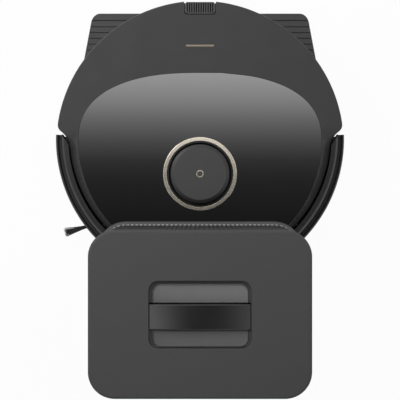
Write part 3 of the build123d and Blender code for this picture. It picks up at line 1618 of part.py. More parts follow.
# Dust bin
bin_low = floor_top + run_gap
bin_high = ground + bin_top
pocket_wall = 2.0
pocket_low = latch_low - latch_travel - run_gap
port_y = fan_y
port_z = ground + 42.0
port_size = (18.0, 20.0)
pocket_width = latch_width + 2 * run_gap


def pocket_plan(grow):
    """Plan of the latch's pocket, open to the rear."""
    front = latch_front - run_gap - grow
    with BuildSketch() as plan:
        with Locations((0, front + latch_depth)):
            Rectangle(pocket_width + 2 * grow, 2 * latch_depth)
    return plan.sketch


with BuildPart() as bin_body:
    with BuildSketch(Plane.XY.offset(bin_low)):
        add(bin_outline(0))
    extrude(amount=bin_high - bin_low)
    with BuildSketch(Plane.XY.offset(bin_low + bin_wall)):
        add(bin_outline(bin_wall))
    extrude(amount=bin_high - bin_low, mode=Mode.SUBTRACT)
    # block around the latch's pocket
    with BuildSketch(Plane.XY.offset(pocket_low - pocket_wall)):
        add(pocket_plan(pocket_wall))
        add(bin_outline(0), mode=Mode.INTERSECT)
    extrude(amount=bin_high - pocket_low + pocket_wall)
    with BuildSketch(Plane.XY.offset(pocket_low)):
        add(pocket_plan(0))
    extrude(amount=robot_height, mode=Mode.SUBTRACT)
    # dust inlet in front, air outlet to the fan at the side
    with BuildSketch(Plane.XZ.offset(-bin_front - bin_wall)):
        with Locations((0, mouth_middle)):
            Rectangle(mouth_width, mouth_tall)
    extrude(amount=2 * bin_wall, mode=Mode.SUBTRACT)
    with BuildSketch(Plane.YZ.offset(-bin_half_width - bin_wall)):
        with Locations((port_y, port_z)):
            Rectangle(*port_size)
    extrude(amount=3 * bin_wall, mode=Mode.SUBTRACT)
write(bin_body, "bin_body")

with BuildPart() as bin_lid:
    with BuildSketch(Plane.XY.offset(bin_high)):
        add(bin_outline(0))
        add(pocket_plan(0), mode=Mode.SUBTRACT)
    extrude(amount=bin_lid_thickness)
write(bin_lid, "bin_lid")

with BuildPart() as bin_filter:
    filter_plane = Plane.YZ.offset(-bin_half_width + bin_wall)
    with BuildSketch(filter_plane):
        with Locations((port_y, port_z)):
            Rectangle(2 * port_size[0], 2 * port_size[1])
    extrude(amount=filter_thickness)
    pleats = 9
    with BuildSketch(filter_plane.offset(filter_thickness)):
        with Locations((port_y, port_z)):
            with GridLocations(1.8 * port_size[0] / pleats, 0, pleats, 1):
                Rectangle(0.8 * port_size[0] / pleats, 1.8 * port_size[1])
    extrude(amount=-filter_thickness / 2, mode=Mode.SUBTRACT)
write(bin_filter, "bin_filter")

with BuildPart() as bin_latch:
    with BuildSketch(Plane.XY.offset(latch_low)):
        with Locations((0, latch_front + latch_depth / 2)):
            RectangleRounded(latch_width, latch_depth, latch_corner)
    extrude(amount=latch_height)
    with BuildSketch(Plane.XY.offset(latch_high)):
        with Locations((0, latch_front + latch_depth / 2)):
            with GridLocations(latch_rib_pitch, 0, latch_ribs, 1):
                Rectangle(latch_rib_pitch / 2, latch_depth - 2)
    extrude(amount=-latch_rib_depth, mode=Mode.SUBTRACT)
write(bin_latch, "bin_latch")

# Suction fan beside the bin
fan_shaft_radius = 2.5
fan_impeller_radius = fan_radius - 2 * fan_wall
fan_impeller_height = 0.4 * fan_height
fan_impeller_z = floor_top + fan_height - fan_wall - fan_impeller_height - 3.0
with BuildPart() as fan_housing:
    with BuildSketch(Plane.XY.offset(floor_top)):
        with Locations((fan_x, fan_y)):
            Circle(fan_radius)
    extrude(amount=fan_height)
    # snout to the bin's side
    with BuildSketch(Plane.YZ.offset(fan_x)):
        with Locations((port_y, port_z)):
            Rectangle(port_size[0] + 2 * fan_wall, port_size[1] + 2 * fan_wall)
    extrude(amount=-bin_half_width - run_gap - fan_x)
    with BuildSketch(Plane.XY.offset(floor_top + fan_wall)):
        with Locations((fan_x, fan_y)):
            Circle(fan_radius - fan_wall)
    extrude(amount=fan_height - 2 * fan_wall, mode=Mode.SUBTRACT)
    with BuildSketch(Plane.YZ.offset(fan_x)):
        with Locations((port_y, port_z)):
            Rectangle(*port_size)
    extrude(amount=-bin_half_width - fan_x, mode=Mode.SUBTRACT)
    with BuildSketch(Plane.XY.offset(floor_top)):
        with Locations((fan_x, fan_y)):
            Circle(fan_radius / 2)
    extrude(amount=fan_impeller_z - 2.0 - floor_top)
    with BuildSketch(Plane.XY.offset(floor_top)):
        with Locations((fan_x, fan_y)):
            Circle(fan_shaft_radius)
    extrude(amount=fan_impeller_z + fan_impeller_height - floor_top)
write(fan_housing, "fan_housing")

fan_blades = 8
fan_impeller = impeller(
    fan_x, fan_y, fan_impeller_z, fan_impeller_radius, fan_impeller_height, fan_shaft_radius, fan_blades
)
write(fan_impeller, "fan_impeller")
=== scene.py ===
import json
import bmesh
import bpy
from math import cos, pi, radians, sin
from random import Random
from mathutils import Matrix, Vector

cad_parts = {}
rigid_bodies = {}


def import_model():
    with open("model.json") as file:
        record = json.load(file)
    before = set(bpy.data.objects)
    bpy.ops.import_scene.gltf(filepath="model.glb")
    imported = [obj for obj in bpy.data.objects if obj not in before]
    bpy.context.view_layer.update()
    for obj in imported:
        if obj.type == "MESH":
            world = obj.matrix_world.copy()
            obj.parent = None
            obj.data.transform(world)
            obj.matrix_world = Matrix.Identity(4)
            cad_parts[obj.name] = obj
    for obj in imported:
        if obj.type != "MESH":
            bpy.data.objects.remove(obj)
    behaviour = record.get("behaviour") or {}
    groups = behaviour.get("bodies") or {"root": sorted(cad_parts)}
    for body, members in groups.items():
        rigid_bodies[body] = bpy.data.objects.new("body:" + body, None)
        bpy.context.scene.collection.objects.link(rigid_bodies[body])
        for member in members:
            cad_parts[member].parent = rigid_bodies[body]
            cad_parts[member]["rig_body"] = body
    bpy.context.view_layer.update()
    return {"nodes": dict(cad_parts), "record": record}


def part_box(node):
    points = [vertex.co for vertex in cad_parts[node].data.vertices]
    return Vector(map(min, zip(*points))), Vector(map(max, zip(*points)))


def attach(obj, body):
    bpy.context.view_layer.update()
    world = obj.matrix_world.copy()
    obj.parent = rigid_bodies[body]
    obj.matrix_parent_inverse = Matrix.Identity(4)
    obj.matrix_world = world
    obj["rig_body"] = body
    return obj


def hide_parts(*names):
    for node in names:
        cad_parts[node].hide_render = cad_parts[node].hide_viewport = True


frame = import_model()
nodes = frame["nodes"]
slotOf = {part["node"]: part["material_slot"] for part in frame["record"]["subparts"]}
bodyOf = {node: piece["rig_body"] for node, piece in nodes.items()}
print("frame loaded:", len(nodes), "pieces")


def clamp(value):
    return min(1.0, max(0.0, value))


def blend(first, second, share):
    return first + (second - first) * share


# material building blocks

def newMaterial(name):
    material = bpy.data.materials.new(name)
    material.use_nodes = True
    tree = material.node_tree
    shader = tree.nodes["Principled BSDF"]
    coords = tree.nodes.new("ShaderNodeTexCoord").outputs["Object"]
    return material, tree, shader, coords


def addNoise(tree, coords, scale, detail=3.0, rough=0.5):
    noise = tree.nodes.new("ShaderNodeTexNoise")
    noise.inputs["Scale"].default_value = scale
    noise.inputs["Detail"].default_value = detail
    noise.inputs["Roughness"].default_value = rough
    tree.links.new(coords, noise.inputs["Vector"])
    return noise.outputs["Fac"]


def addRange(tree, value, low, high, fromLow=0.3, fromHigh=0.7):
    ranged = tree.nodes.new("ShaderNodeMapRange")
    ranged.inputs["From Min"].default_value = fromLow
    ranged.inputs["From Max"].default_value = fromHigh
    ranged.inputs["To Min"].default_value = low
    ranged.inputs["To Max"].default_value = high
    tree.links.new(value, ranged.inputs["Value"])
    return ranged.outputs["Result"]


def addMaths(tree, operation, first, second):
    maths = tree.nodes.new("ShaderNodeMath")
    maths.operation = operation
    tree.links.new(first, maths.inputs[0])
    tree.links.new(second, maths.inputs[1])
    return maths.outputs[0]


def mixColours(tree, factor, first, second):
    # the first is a colour, or the output of another node
    mix = tree.nodes.new("ShaderNodeMix")
    mix.data_type = "RGBA"
    if isinstance(first, bpy.types.NodeSocket):
        tree.links.new(first, mix.inputs["A"])
    else:
        mix.inputs["A"].default_value = (*first, 1)
    mix.inputs["B"].default_value = (*second, 1)
    tree.links.new(factor, mix.inputs["Factor"])
    return mix.outputs["Result"]


def addBump(tree, shader, height, distance, strength=1.0):
    bump = tree.nodes.new("ShaderNodeBump")
    bump.inputs["Distance"].default_value = distance
    bump.inputs["Strength"].default_value = strength
    tree.links.new(height, bump.inputs["Height"])
    tree.links.new(bump.outputs["Normal"], shader.inputs["Normal"])


def shade(colour, amount):
    return tuple(min(1.0, channel * amount) for channel in colour)


def grey(level, blue=0.0):
    return (level, level, level + blue)


# moulded plastic, from matt graphite to the gloss panel

graphite = {"colour": grey(0.044, 0.0002), "mottle": 0.03, "mottleScale": 7.0,
            "rough": 0.6, "drift": 0.04, "driftScale": 55.0, "driftDetail": 4.0,
            "grainScale": 1800.0, "grainDetail": 2.0, "grainDepth": 0.00006,
            "specular": 0.3, "coat": 0.0, "coatRough": 0.03}


def mouldedPlastic(name, look):
    # spark-eroded plastic: fine grain, faint flow mottling, roughness that drifts
    material, tree, shader, coords = newMaterial(name)
    mottling = addRange(tree, addNoise(tree, coords, look["mottleScale"]), 0, 1)
    colour = mixColours(tree, mottling, shade(look["colour"], 1 - look["mottle"]),
                        shade(look["colour"], 1 + look["mottle"]))
    shader.inputs["Specular IOR Level"].default_value = look["specular"]
    if "rimColour" in look:
        # a piece's attribute of painted light and shade: above 0 it pales the plastic as painted light, below
        # 0 it darkens it and takes its gloss as painted shade
        paintedShading = tree.nodes.new("ShaderNodeAttribute")
        paintedShading.attribute_name = "paintedShading"
        for full, target in ((1, look["rimColour"]), (-1, look["valleyColour"])):
            colour = mixColours(tree, addRange(tree, paintedShading.outputs["Fac"], 0, 1, 0, full), colour, target)
        gloss = addRange(tree, paintedShading.outputs["Fac"], look["specular"], 0, 0, -1)
        tree.links.new(gloss, shader.inputs["Specular IOR Level"])
    tree.links.new(colour, shader.inputs["Base Color"])
    drift = addNoise(tree, coords, look["driftScale"], look["driftDetail"])
    rough = addRange(tree, drift, look["rough"] - look["drift"], look["rough"] + look["drift"])
    tree.links.new(rough, shader.inputs["Roughness"])
    addBump(tree, shader, addNoise(tree, coords, look["grainScale"], look["grainDetail"]), look["grainDepth"])
    shader.inputs["Coat Weight"].default_value = look["coat"]
    shader.inputs["Coat Roughness"].default_value = look["coatRough"]
    return material


def moulded(**changes):
    return mouldedPlastic, {**graphite, **changes}


# turned metal trim

steel = {"colour": (0.56, 0.57, 0.58), "rough": 0.3, "metal": 1.0, "centre": (0, 0, 0),
         "toolScale": 900.0, "toolDepth": 0.00002, "toolWander": 1.5, "toolDetail": 2.0,
         "toolTint": 0.03, "toolRough": 0.02, "toolStrength": 0.4}


def trimMetal(name, look):
    # circular tool marks about the piece's own axis
    material, tree, shader, coords = newMaterial(name)
    mapping = tree.nodes.new("ShaderNodeMapping")
    mapping.inputs["Location"].default_value = look["centre"]
    tree.links.new(coords, mapping.inputs["Vector"])
    rings = tree.nodes.new("ShaderNodeTexWave")
    rings.wave_type = "RINGS"
    rings.rings_direction = "Z"
    rings.inputs["Scale"].default_value = look["toolScale"]
    rings.inputs["Distortion"].default_value = look["toolWander"]
    rings.inputs["Detail"].default_value = look["toolDetail"]
    tree.links.new(mapping.outputs["Vector"], rings.inputs["Vector"])
    marks = rings.outputs["Fac"]
    colour = mixColours(tree, marks, shade(look["colour"], 1 - look["toolTint"]),
                        shade(look["colour"], 1 + look["toolTint"]))
    tree.links.new(colour, shader.inputs["Base Color"])
    rough = addRange(tree, marks, look["rough"] - look["toolRough"], look["rough"] + look["toolRough"], 0, 1)
    tree.links.new(rough, shader.inputs["Roughness"])
    addBump(tree, shader, marks, look["toolDepth"], look["toolStrength"])
    shader.inputs["Metallic"].default_value = look["metal"]
    return material


def turned(**changes):
    return trimMetal, {**steel, **changes}


# pressed fibres: card, filter paper and non-woven bag cloth with welded dots

bagCloth = {"colour": (0.72, 0.69, 0.62), "fibreScale": 900.0, "fibreDetail": 6.0, "fibreRough": 0.7,
            "shades": (0.86, 1.06), "rough": (0.8, 0.95), "sheen": 0.2,
            "dotScale": 350.0, "dotDepth": 0.0003, "dotScatter": 0.15, "dotEdge": (0.1, 0.45),
            "dotStrength": 0.6}


def fibreSheet(name, look):
    material, tree, shader, coords = newMaterial(name)
    fibres = addNoise(tree, coords, look["fibreScale"], look["fibreDetail"], look["fibreRough"])
    dark, pale = (shade(look["colour"], amount) for amount in look["shades"])
    tree.links.new(mixColours(tree, addRange(tree, fibres, 0, 1), dark, pale), shader.inputs["Base Color"])
    tree.links.new(addRange(tree, fibres, *look["rough"]), shader.inputs["Roughness"])
    dots = tree.nodes.new("ShaderNodeTexVoronoi")
    dots.inputs["Scale"].default_value = look["dotScale"]
    dots.inputs["Randomness"].default_value = look["dotScatter"]
    tree.links.new(coords, dots.inputs["Vector"])
    raised = addRange(tree, dots.outputs["Distance"], 0, 1, *look["dotEdge"])
    addBump(tree, shader, raised, look["dotDepth"], look["dotStrength"])
    shader.inputs["Sheen Weight"].default_value = look["sheen"]
    return material


def pressed(**changes):
    return fibreSheet, {**bagCloth, **changes}


# circuit board and dark windows

board = {"colour": (0.01, 0.09, 0.035), "track": (0.03, 0.16, 0.06), "trackScale": 160.0, "trackWidth": 0.018,
         "darker": 0.75, "hazeScale": 300.0, "rough": (0.3, 0.45)}


def printedBoard(name, look):
    # solder mask with a grid of tracks under it
    material, tree, shader, coords = newMaterial(name)
    tracks = tree.nodes.new("ShaderNodeTexBrick")
    tracks.inputs["Scale"].default_value = look["trackScale"]
    tracks.inputs["Mortar Size"].default_value = look["trackWidth"]
    tracks.inputs["Color1"].default_value = (*look["colour"], 1)
    tracks.inputs["Color2"].default_value = (*shade(look["colour"], look["darker"]), 1)
    tracks.inputs["Mortar"].default_value = (*look["track"], 1)
    tree.links.new(coords, tracks.inputs["Vector"])
    tree.links.new(tracks.outputs["Color"], shader.inputs["Base Color"])
    haze = addNoise(tree, coords, look["hazeScale"])
    tree.links.new(addRange(tree, haze, *look["rough"]), shader.inputs["Roughness"])
    return material


smoked = {"colour": (0.010, 0.009, 0.010), "bloom": (0.016, 0.012, 0.018), "bloomScale": 80.0,
          "hazeScale": 400.0, "rough": (0.03, 0.08), "coat": 0.6}


def smokedLens(name, look):
    # dark coated glass with a faint purple bloom
    material, tree, shader, coords = newMaterial(name)
    bloom = addRange(tree, addNoise(tree, coords, look["bloomScale"]), 0, 1)
    tree.links.new(mixColours(tree, bloom, look["colour"], look["bloom"]), shader.inputs["Base Color"])
    haze = addNoise(tree, coords, look["hazeScale"])
    tree.links.new(addRange(tree, haze, *look["rough"]), shader.inputs["Roughness"])
    shader.inputs["Coat Weight"].default_value = look["coat"]
    return material


finishes = {
    # the pale and dark target colours in these finishes are for painted light and painted shade
    "dock_graphite": moulded(rimColour=grey(0.75), valleyColour=grey(0.002)),
    "base_graphite": moulded(colour=grey(0.050, 0.0002), rimColour=grey(0.2), valleyColour=grey(0.003)),
    "lid_graphite": moulded(colour=grey(0.0555, 0.0002)),
    "handle_gloss": moulded(colour=grey(0.016, 0.0003), rough=0.17, drift=0.01, grainDepth=0.00001,
                            specular=0.5),
    "scoop_grey": moulded(colour=grey(0.06, 0.001), rimColour=grey(0.27, 0.001), valleyColour=grey(0.002)),
    "soft_rubber": moulded(colour=grey(0.018), rough=0.75, grainDepth=0.0001),
    "tyre_rubber": moulded(colour=grey(0.02), rough=0.8, grainDepth=0.00012),
    "bag_paper": pressed(),
    "card": pressed(colour=(0.50, 0.38, 0.24), fibreScale=700.0, dotScale=900.0, dotDepth=0.00005),
    "inner_plastic": moulded(colour=grey(0.09, 0.004)),
    "pipe_plastic": moulded(colour=grey(0.15, 0.004), rough=0.4),
    "circuit_board": (printedBoard, board),
    "steel": turned(),
    "gold_contact": turned(colour=(0.72, 0.54, 0.27), rough=0.25, toolDepth=0.00001),
    "smoked_window": (smokedLens, smoked),
    "robot_graphite": moulded(colour=grey(0.036, 0.0002), rimColour=grey(0.25), valleyColour=grey(0.002)),
    "shell_black": moulded(colour=grey(0.026, 0.001), rough=0.5),
    "panel_gloss": moulded(colour=grey(0.004, 0.0002), rough=0.07, drift=0.01, grainDepth=0.0,
                           specular=0.6, coat=1.0),
    "accent_silver": turned(colour=(0.17, 0.142, 0.105), rough=0.45, metal=0.8, toolScale=600.0,
                            toolDepth=0.00001),
    "champagne": turned(colour=(0.54, 0.49, 0.41), rough=0.17, toolDepth=0.00001,
                        centre=(0, -0.0144, 0)),  # brings the turret's axis to the middle
    "lidar_black": moulded(colour=grey(0.012, 0.001), rough=0.45),
    "cap_graphite": moulded(colour=grey(0.025, 0.0004), rough=0.45, specular=0.42),
    "lens_glass": (smokedLens, {**smoked, "colour": (0.015, 0.008, 0.03), "bloom": (0.04, 0.02, 0.08)}),
    "battery_wrap": moulded(colour=(0.02, 0.05, 0.13), rough=0.3),
    "bumper_black": moulded(colour=grey(0.0135, 0.0004), rough=0.5, specular=0.22),
    "hub_grey": moulded(colour=grey(0.11, 0.004), rough=0.5),
    "fin_rubber": moulded(colour=(0.30, 0.07, 0.025)),
    "bristle_nylon": moulded(colour=grey(0.052, 0.001), rough=0.45, grainDepth=0.0),
    "bin_smoke": moulded(colour=grey(0.05, 0.003), rough=0.2),
    "filter_paper": pressed(colour=(0.78, 0.78, 0.74), fibreScale=1200.0, dotScale=1500.0, dotDepth=0.00004),
    "latch_graphite": moulded(colour=grey(0.054, 0.0004), rimColour=grey(0.3), valleyColour=grey(0.004)),
}
materials = {slot: maker(slot, look) for slot, (maker, look) in finishes.items()}
for node, piece in nodes.items():
    piece.data.materials.clear()
    piece.data.materials.append(materials[slotOf[node]])
print("finishes made:", len(materials))


# smooth-shaded skins of the rigid pieces, with their edges eased

skins = {
    "mergeDistance": 0.000002,
    "weldDistance": 1e-7,  # for pieces made here
    "sharpAngle": 32.0,
    "flatAngle": 0.4,
    "edgeSegments": 2,
    "shallowEdges": {"lidar_cap": 20.0},
    # piece: how far its sharp edges are rounded, in metres
    "rounding": {
        "lower_housing": 0.0008, "tower_shell": 0.0004, "dock_base": 0.0008, "lid_shell": 0.0006,
        "lid_handle": 0.0003, "side_shell": 0.0004, "top_cover": 0.0004,
        "gloss_panel": 0.0006, "lidar_ring": 0.0003, "lidar_well": 0.0003, "lidar_cap": 0.0007,
        "bumper": 0.0004, "chassis": 0.0003, "bin_body": 0.0005, "bin_lid": 0.0004, "bin_latch": 0.0003,
        "left_tyre": 0.0004, "right_tyre": 0.0004, "left_hub": 0.0005, "right_hub": 0.0005,
        "caster_wheel": 0.0003, "caster_fork": 0.0004, "roller_fins": 0.0002, "brush_guard": 0.0004,
        "power_inlet": 0.0004, "dock_feet": 0.0004, "side_brush_hub": 0.0004, "lidar_head": 0.0004,
        "left_arm": 0.0006, "right_arm": 0.0006, "dust_riser": 0.0004, "bag_tray": 0.0004,
        "duct_cover": 0.0004, "battery_door": 0.0004,
    },
}


def keepMesh(bm, name):
    mesh = bpy.data.meshes.new(name)
    bm.to_mesh(mesh)
    bm.free()
    return mesh


def placeObject(name, data):
    placed = bpy.data.objects.new(name, data)
    bpy.context.scene.collection.objects.link(placed)
    return placed


def putPiece(name, mesh, body, slot, *replaced):
    piece = placeObject(name, mesh)
    mesh.materials.append(materials[slot])
    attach(piece, body)
    if replaced:
        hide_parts(*replaced)
    return piece


def smoothFaces(bm, sharpAngle):
    for face in bm.faces:
        face.smooth = True
    for edge in bm.edges:
        edge.smooth = len(edge.link_faces) == 2 and edge.calc_face_angle(0.0) < radians(sharpAngle)


def closePiece(bm, name, node, sharpAngle=skins["sharpAngle"]):
    bmesh.ops.remove_doubles(bm, verts=bm.verts, dist=skins["weldDistance"])
    bmesh.ops.recalc_face_normals(bm, faces=bm.faces)
    smoothFaces(bm, sharpAngle)
    return putPiece(name, keepMesh(bm, name), bodyOf[node], slotOf[node], node)


def dressNode(node, width, reshape=None):
    bm = bmesh.new()
    bm.from_mesh(nodes[node].data)
    bmesh.ops.remove_doubles(bm, verts=bm.verts, dist=skins["mergeDistance"])
    if reshape:
        reshape(bm)
    bmesh.ops.dissolve_limit(bm, angle_limit=radians(skins["flatAngle"]), verts=bm.verts, edges=bm.edges)
    sharpAngle = skins["shallowEdges"].get(node, skins["sharpAngle"])
    smoothFaces(bm, sharpAngle)
    piece = putPiece(node + "Skin", keepMesh(bm, node + "Skin"), bodyOf[node], slotOf[node], node)
    rounded = piece.modifiers.new("easedEdges", "BEVEL")
    rounded.width = width
    rounded.segments = skins["edgeSegments"]
    rounded.limit_method = "ANGLE"
    rounded.angle_limit = radians(sharpAngle)
    rounded.harden_normals = True
    flats = piece.modifiers.new("flatFaces", "WEIGHTED_NORMAL")
    flats.keep_sharp = True


def cutThrough(bm, place, normal, distance):
    bmesh.ops.bisect_plane(bm, geom=bm.verts[:] + bm.edges[:] + bm.faces[:], dist=distance,
                           plane_co=place, plane_no=normal)


reshapes = {}


# cover: a shoulder with painted shade falls to the bumper, a painted highlight runs along the rear edge, and
# each notch behind the bumper is a soft S

coverEdge = {"frontRadius": 0.1572, "frontY": 0.0605, "band": 0.00205,
             "width": 0.0092, "drop": 0.0040, "curve": 1.35,
             # the shoulder starts and is full at these places along the robot
             "blendFrom": 0.066, "blendTo": 0.046,
             # painted shade on the shoulder, at its outer edge and where it ends, and how far in it ends
             "shoulderEdgeShade": -0.66, "shoulderInnerShade": -0.34, "toneUntil": 0.68, "toneGone": 0.74,
             # painted highlight line along the rear edge
             "rearRadius": 0.1732, "rearY": 0.0498, "rearHighlightWidth": 0.0010, "rearHighlight": 0.5}
notch = {"cornerX": 0.16971, "cornerY": 0.0714, "endX": 0.15782, "endY": 0.05416,
         "cuts": 12, "lengthSlack": 0.1, "sideSlack": 0.003,
         # the S, as shares of the way from the notch's corner to its end
         "swell": 0.0019, "dip": 0.0003, "swellFrom": -0.30, "swellTop": 0.13, "swellTo": 0.60}


def reshapeNotch(bm):
    across = notch["endX"] - notch["cornerX"]
    fall = notch["cornerY"] - notch["endY"]
    length = Vector((across, fall)).length
    innermost = notch["endX"] - notch["sideSlack"]
    sides = []
    for edge in bm.edges:
        first, second = (vert.co for vert in edge.verts)
        offLength = abs((first - second).xy.length / length - 1)
        if offLength < notch["lengthSlack"] and min(abs(first.x), abs(second.x)) > innermost:
            sides.append(edge)
    bmesh.ops.subdivide_edges(bm, edges=sides, cuts=notch["cuts"])
    out = Vector((-fall, across, 0)).normalized()
    for vert in bm.verts:
        share = (notch["cornerY"] - vert.co.y) / fall
        if abs(vert.co.x) < innermost or not notch["swellFrom"] < share < 1:
            continue
        if share < notch["swellTop"]:
            rise = (share - notch["swellFrom"]) / (notch["swellTop"] - notch["swellFrom"])
        else:
            rise = (notch["swellTo"] - share) / (notch["swellTo"] - notch["swellTop"])
        if rise > 0:
            amount = notch["swell"] * (1 - cos(pi * min(1.0, rise))) / 2
        else:
            amount = -notch["dip"] * sin(pi * (share - notch["swellTo"]) / (1 - notch["swellTo"]))
        vert.co += Vector((-out.x if vert.co.x > 0 else out.x, out.y, 0)) * amount


def reshapeCover(bm):
    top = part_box("top_cover")[1].z
    reshapeNotch(bm)
    paintedShading = bm.verts.layers.float.new("paintedShading")
    for vert in bm.verts:
        out = Vector((vert.co.x, vert.co.y - coverEdge["frontY"], 0))
        inset = coverEdge["frontRadius"] - out.length
        share = (coverEdge["blendFrom"] - vert.co.y) / (coverEdge["blendFrom"] - coverEdge["blendTo"])
        share = clamp(share)
        if abs(inset) < coverEdge["band"] and share > 0:
            within = clamp(inset / coverEdge["band"])
            fall = coverEdge["drop"] * (1 - within) ** coverEdge["curve"]
            if top - vert.co.z < coverEdge["band"]:
                vert.co.z += (top - fall - vert.co.z) * share
            vert.co -= out.normalized() * within * (coverEdge["width"] - coverEdge["band"]) * share
            # painted shade on the sloping shoulder
            if within < coverEdge["toneGone"]:
                reach = min(1.0, within / coverEdge["toneUntil"])
                vert[paintedShading] = share * blend(coverEdge["shoulderEdgeShade"], coverEdge["shoulderInnerShade"], reach)
        # painted highlight along the cover's rear edge
        rear = coverEdge["rearRadius"] - Vector((vert.co.x, vert.co.y - coverEdge["rearY"])).length
        if rear < coverEdge["rearHighlightWidth"] and vert.co.y > notch["cornerY"]:
            vert[paintedShading] = coverEdge["rearHighlight"] * (1 - max(0.0, rear) / coverEdge["rearHighlightWidth"])


reshapes["top_cover"] = reshapeCover


# base: the toe of the ramp reaches as far back as the robot, and painted shade darkens its grooves

toe = {"from": 0.209, "stretch": 0.0023,
       # the ramp's top, at one place and its slope, and how far below it the grooves are
       "rampY": 0.19055, "rampZ": 0.00869, "slope": -0.1423, "grooveDepth": 0.0008, "grooveSlack": 0.0002,
       "groovePast": 0.005, "groovePaintedShade": -0.55}


def reshapeBase(bm):
    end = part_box("dock_base")[1].y
    paintedShading = bm.verts.layers.float.new("paintedShading")
    for vert in bm.verts:
        sunk = toe["rampZ"] + toe["slope"] * (vert.co.y - toe["rampY"]) - vert.co.z
        inGroove = abs(sunk - toe["grooveDepth"]) < toe["grooveSlack"]
        # painted shade in the ramp's grooves
        if inGroove and vert.co.y < toe["from"] + toe["groovePast"]:
            vert[paintedShading] = toe["groovePaintedShade"]
        over = (vert.co.y - toe["from"]) / (end - toe["from"])
        vert.co.y += toe["stretch"] * max(0.0, over)


reshapes["dock_base"] = reshapeBase


# bumper: its ends reach up to the notches

bumperEnds = {"from": 0.0610, "stretch": 0.0012}


def reshapeBumper(bm):
    for vert in bm.verts:
        if vert.co.y > bumperEnds["from"]:
            vert.co.y += bumperEnds["stretch"]


reshapes["bumper"] = reshapeBumper


# tower: the flutes flare out into the ledge at their feet, with painted shade in the valleys and painted
# light on the crests at the foot and on the ledge

flutes = {"cornerRadius": 0.028, "skinDepth": 0.00135, "cutDistance": 1e-7,
          "footHeight": 0.0042, "footSteps": 6, "stepPower": 1.5, "footSlack": 1e-5,
          "valleyReach": 0.0022, "crestReach": 0.0020, "crestPower": 1.5, "flarePower": 2,
          # painted light on the ledge and on the crests at the foot, painted shade in the valleys above it
          "toneHeight": 0.0016, "crestTone": -0.15, "valleyPaintedShade": -0.8,
          "ledgePaintedLight": 0.08, "ledgeSlack": 0.0001}


def outwardFrom(place, low, high, corner):
    # distance outside a rounded rectangle, and the way out of it
    middle = (low + high) / 2
    half = (high - low) / 2
    dx = abs(place.x - middle.x) - half.x + corner
    dy = abs(place.y - middle.y) - half.y + corner
    side = Vector((1 if place.x > middle.x else -1, 1 if place.y > middle.y else -1, 0))
    if dx > 0 and dy > 0:
        way = Vector((dx * side.x, dy * side.y, 0))
        return way.length - corner, way.normalized()
    if dx > dy:
        return dx - corner, Vector((side.x, 0, 0))
    return dy - corner, Vector((0, side.y, 0))


def reshapeTower(bm):
    low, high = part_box("tower_shell")
    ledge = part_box("lower_housing")[1].z
    for step in range(1, flutes["footSteps"] + 1):
        rise = flutes["footHeight"] * (step / flutes["footSteps"]) ** flutes["stepPower"]
        cutThrough(bm, (0, 0, ledge + rise), (0, 0, 1), flutes["cutDistance"])
    paintedShading = bm.verts.layers.float.new("paintedShading")
    for vert in bm.verts:
        height = vert.co.z - ledge
        outside, way = outwardFrom(vert.co, low, high, flutes["cornerRadius"])
        if height < -flutes["footSlack"] or outside < -flutes["skinDepth"]:
            continue
        crest = 1 + min(0.0, outside) / flutes["skinDepth"]
        # painted shade down the flutes, deepest in the valleys
        wall = blend(flutes["valleyPaintedShade"], flutes["crestTone"], crest)
        above = (height - flutes["toneHeight"]) / (flutes["footHeight"] - flutes["toneHeight"])
        vert[paintedShading] = wall * clamp(above)
        if height < flutes["footHeight"] and vert.co.y > low.y + flutes["cornerRadius"]:
            reach = blend(flutes["valleyReach"], flutes["crestReach"], crest ** flutes["crestPower"])
            vert.co += way * reach * (1 - height / flutes["footHeight"]) ** flutes["flarePower"]
            # painted highlight on the crests at the foot, painted shade between them
            vert[paintedShading] += (2 * crest - 1) * max(0.0, 1 - height / flutes["toneHeight"])


def reshapeHousing(bm):
    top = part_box("lower_housing")[1].z
    paintedShading = bm.verts.layers.float.new("paintedShading")
    for vert in bm.verts:
        # painted light on the ledge's top
        if top - vert.co.z < flutes["ledgeSlack"]:
            vert[paintedShading] = flutes["ledgePaintedLight"]


reshapes["tower_shell"] = reshapeTower
reshapes["lower_housing"] = reshapeHousing


# latch: finger ribs cut deep enough to read from above, with painted shade on their floors and painted light
# on their crests

latch = {"ribFloor": 0.0009, "deepen": 0.0018, "reach": 0.0001, "ribFloorPaintedShade": -1.0, "crestTone": 0.12}


def reshapeLatch(bm):
    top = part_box("bin_latch")[1].z
    floor = top - latch["ribFloor"]
    paintedShading = bm.verts.layers.float.new("paintedShading")
    for vert in bm.verts:
        # rib floors sink deeper and get painted shade, rib crests get painted light
        if abs(vert.co.z - floor) < latch["reach"]:
            vert.co.z -= latch["deepen"]
            vert[paintedShading] = latch["ribFloorPaintedShade"]
        elif abs(vert.co.z - top) < latch["reach"]:
            vert[paintedShading] = latch["crestTone"]


reshapes["bin_latch"] = reshapeLatch


# side shell: a dust lip that closes the gap behind the bumper

dustLip = {"centreY": coverEdge["frontY"], "inner": 0.1555, "outer": 0.1612, "low": 0.060, "high": 0.0615,
           "fromAngle": 186.0, "toAngle": 354.0, "steps": 72}


def reshapeShell(bm):
    shell = set(bm.faces)
    start = radians(dustLip["fromAngle"])
    outline = (("inner", "low"), ("outer", "low"), ("outer", "high"), ("inner", "high"))
    corners = [bm.verts.new((cos(start) * dustLip[edge], dustLip["centreY"] + sin(start) * dustLip[edge],
                             dustLip[level])) for edge, level in outline]
    section = bm.faces.new(corners)
    bmesh.ops.spin(bm, geom=[section], cent=(0, dustLip["centreY"], 0), axis=(0, 0, 1),
                   angle=radians(dustLip["toAngle"] - dustLip["fromAngle"]), steps=dustLip["steps"])
    bmesh.ops.recalc_face_normals(bm, faces=[face for face in bm.faces if face not in shell])


reshapes["side_shell"] = reshapeShell


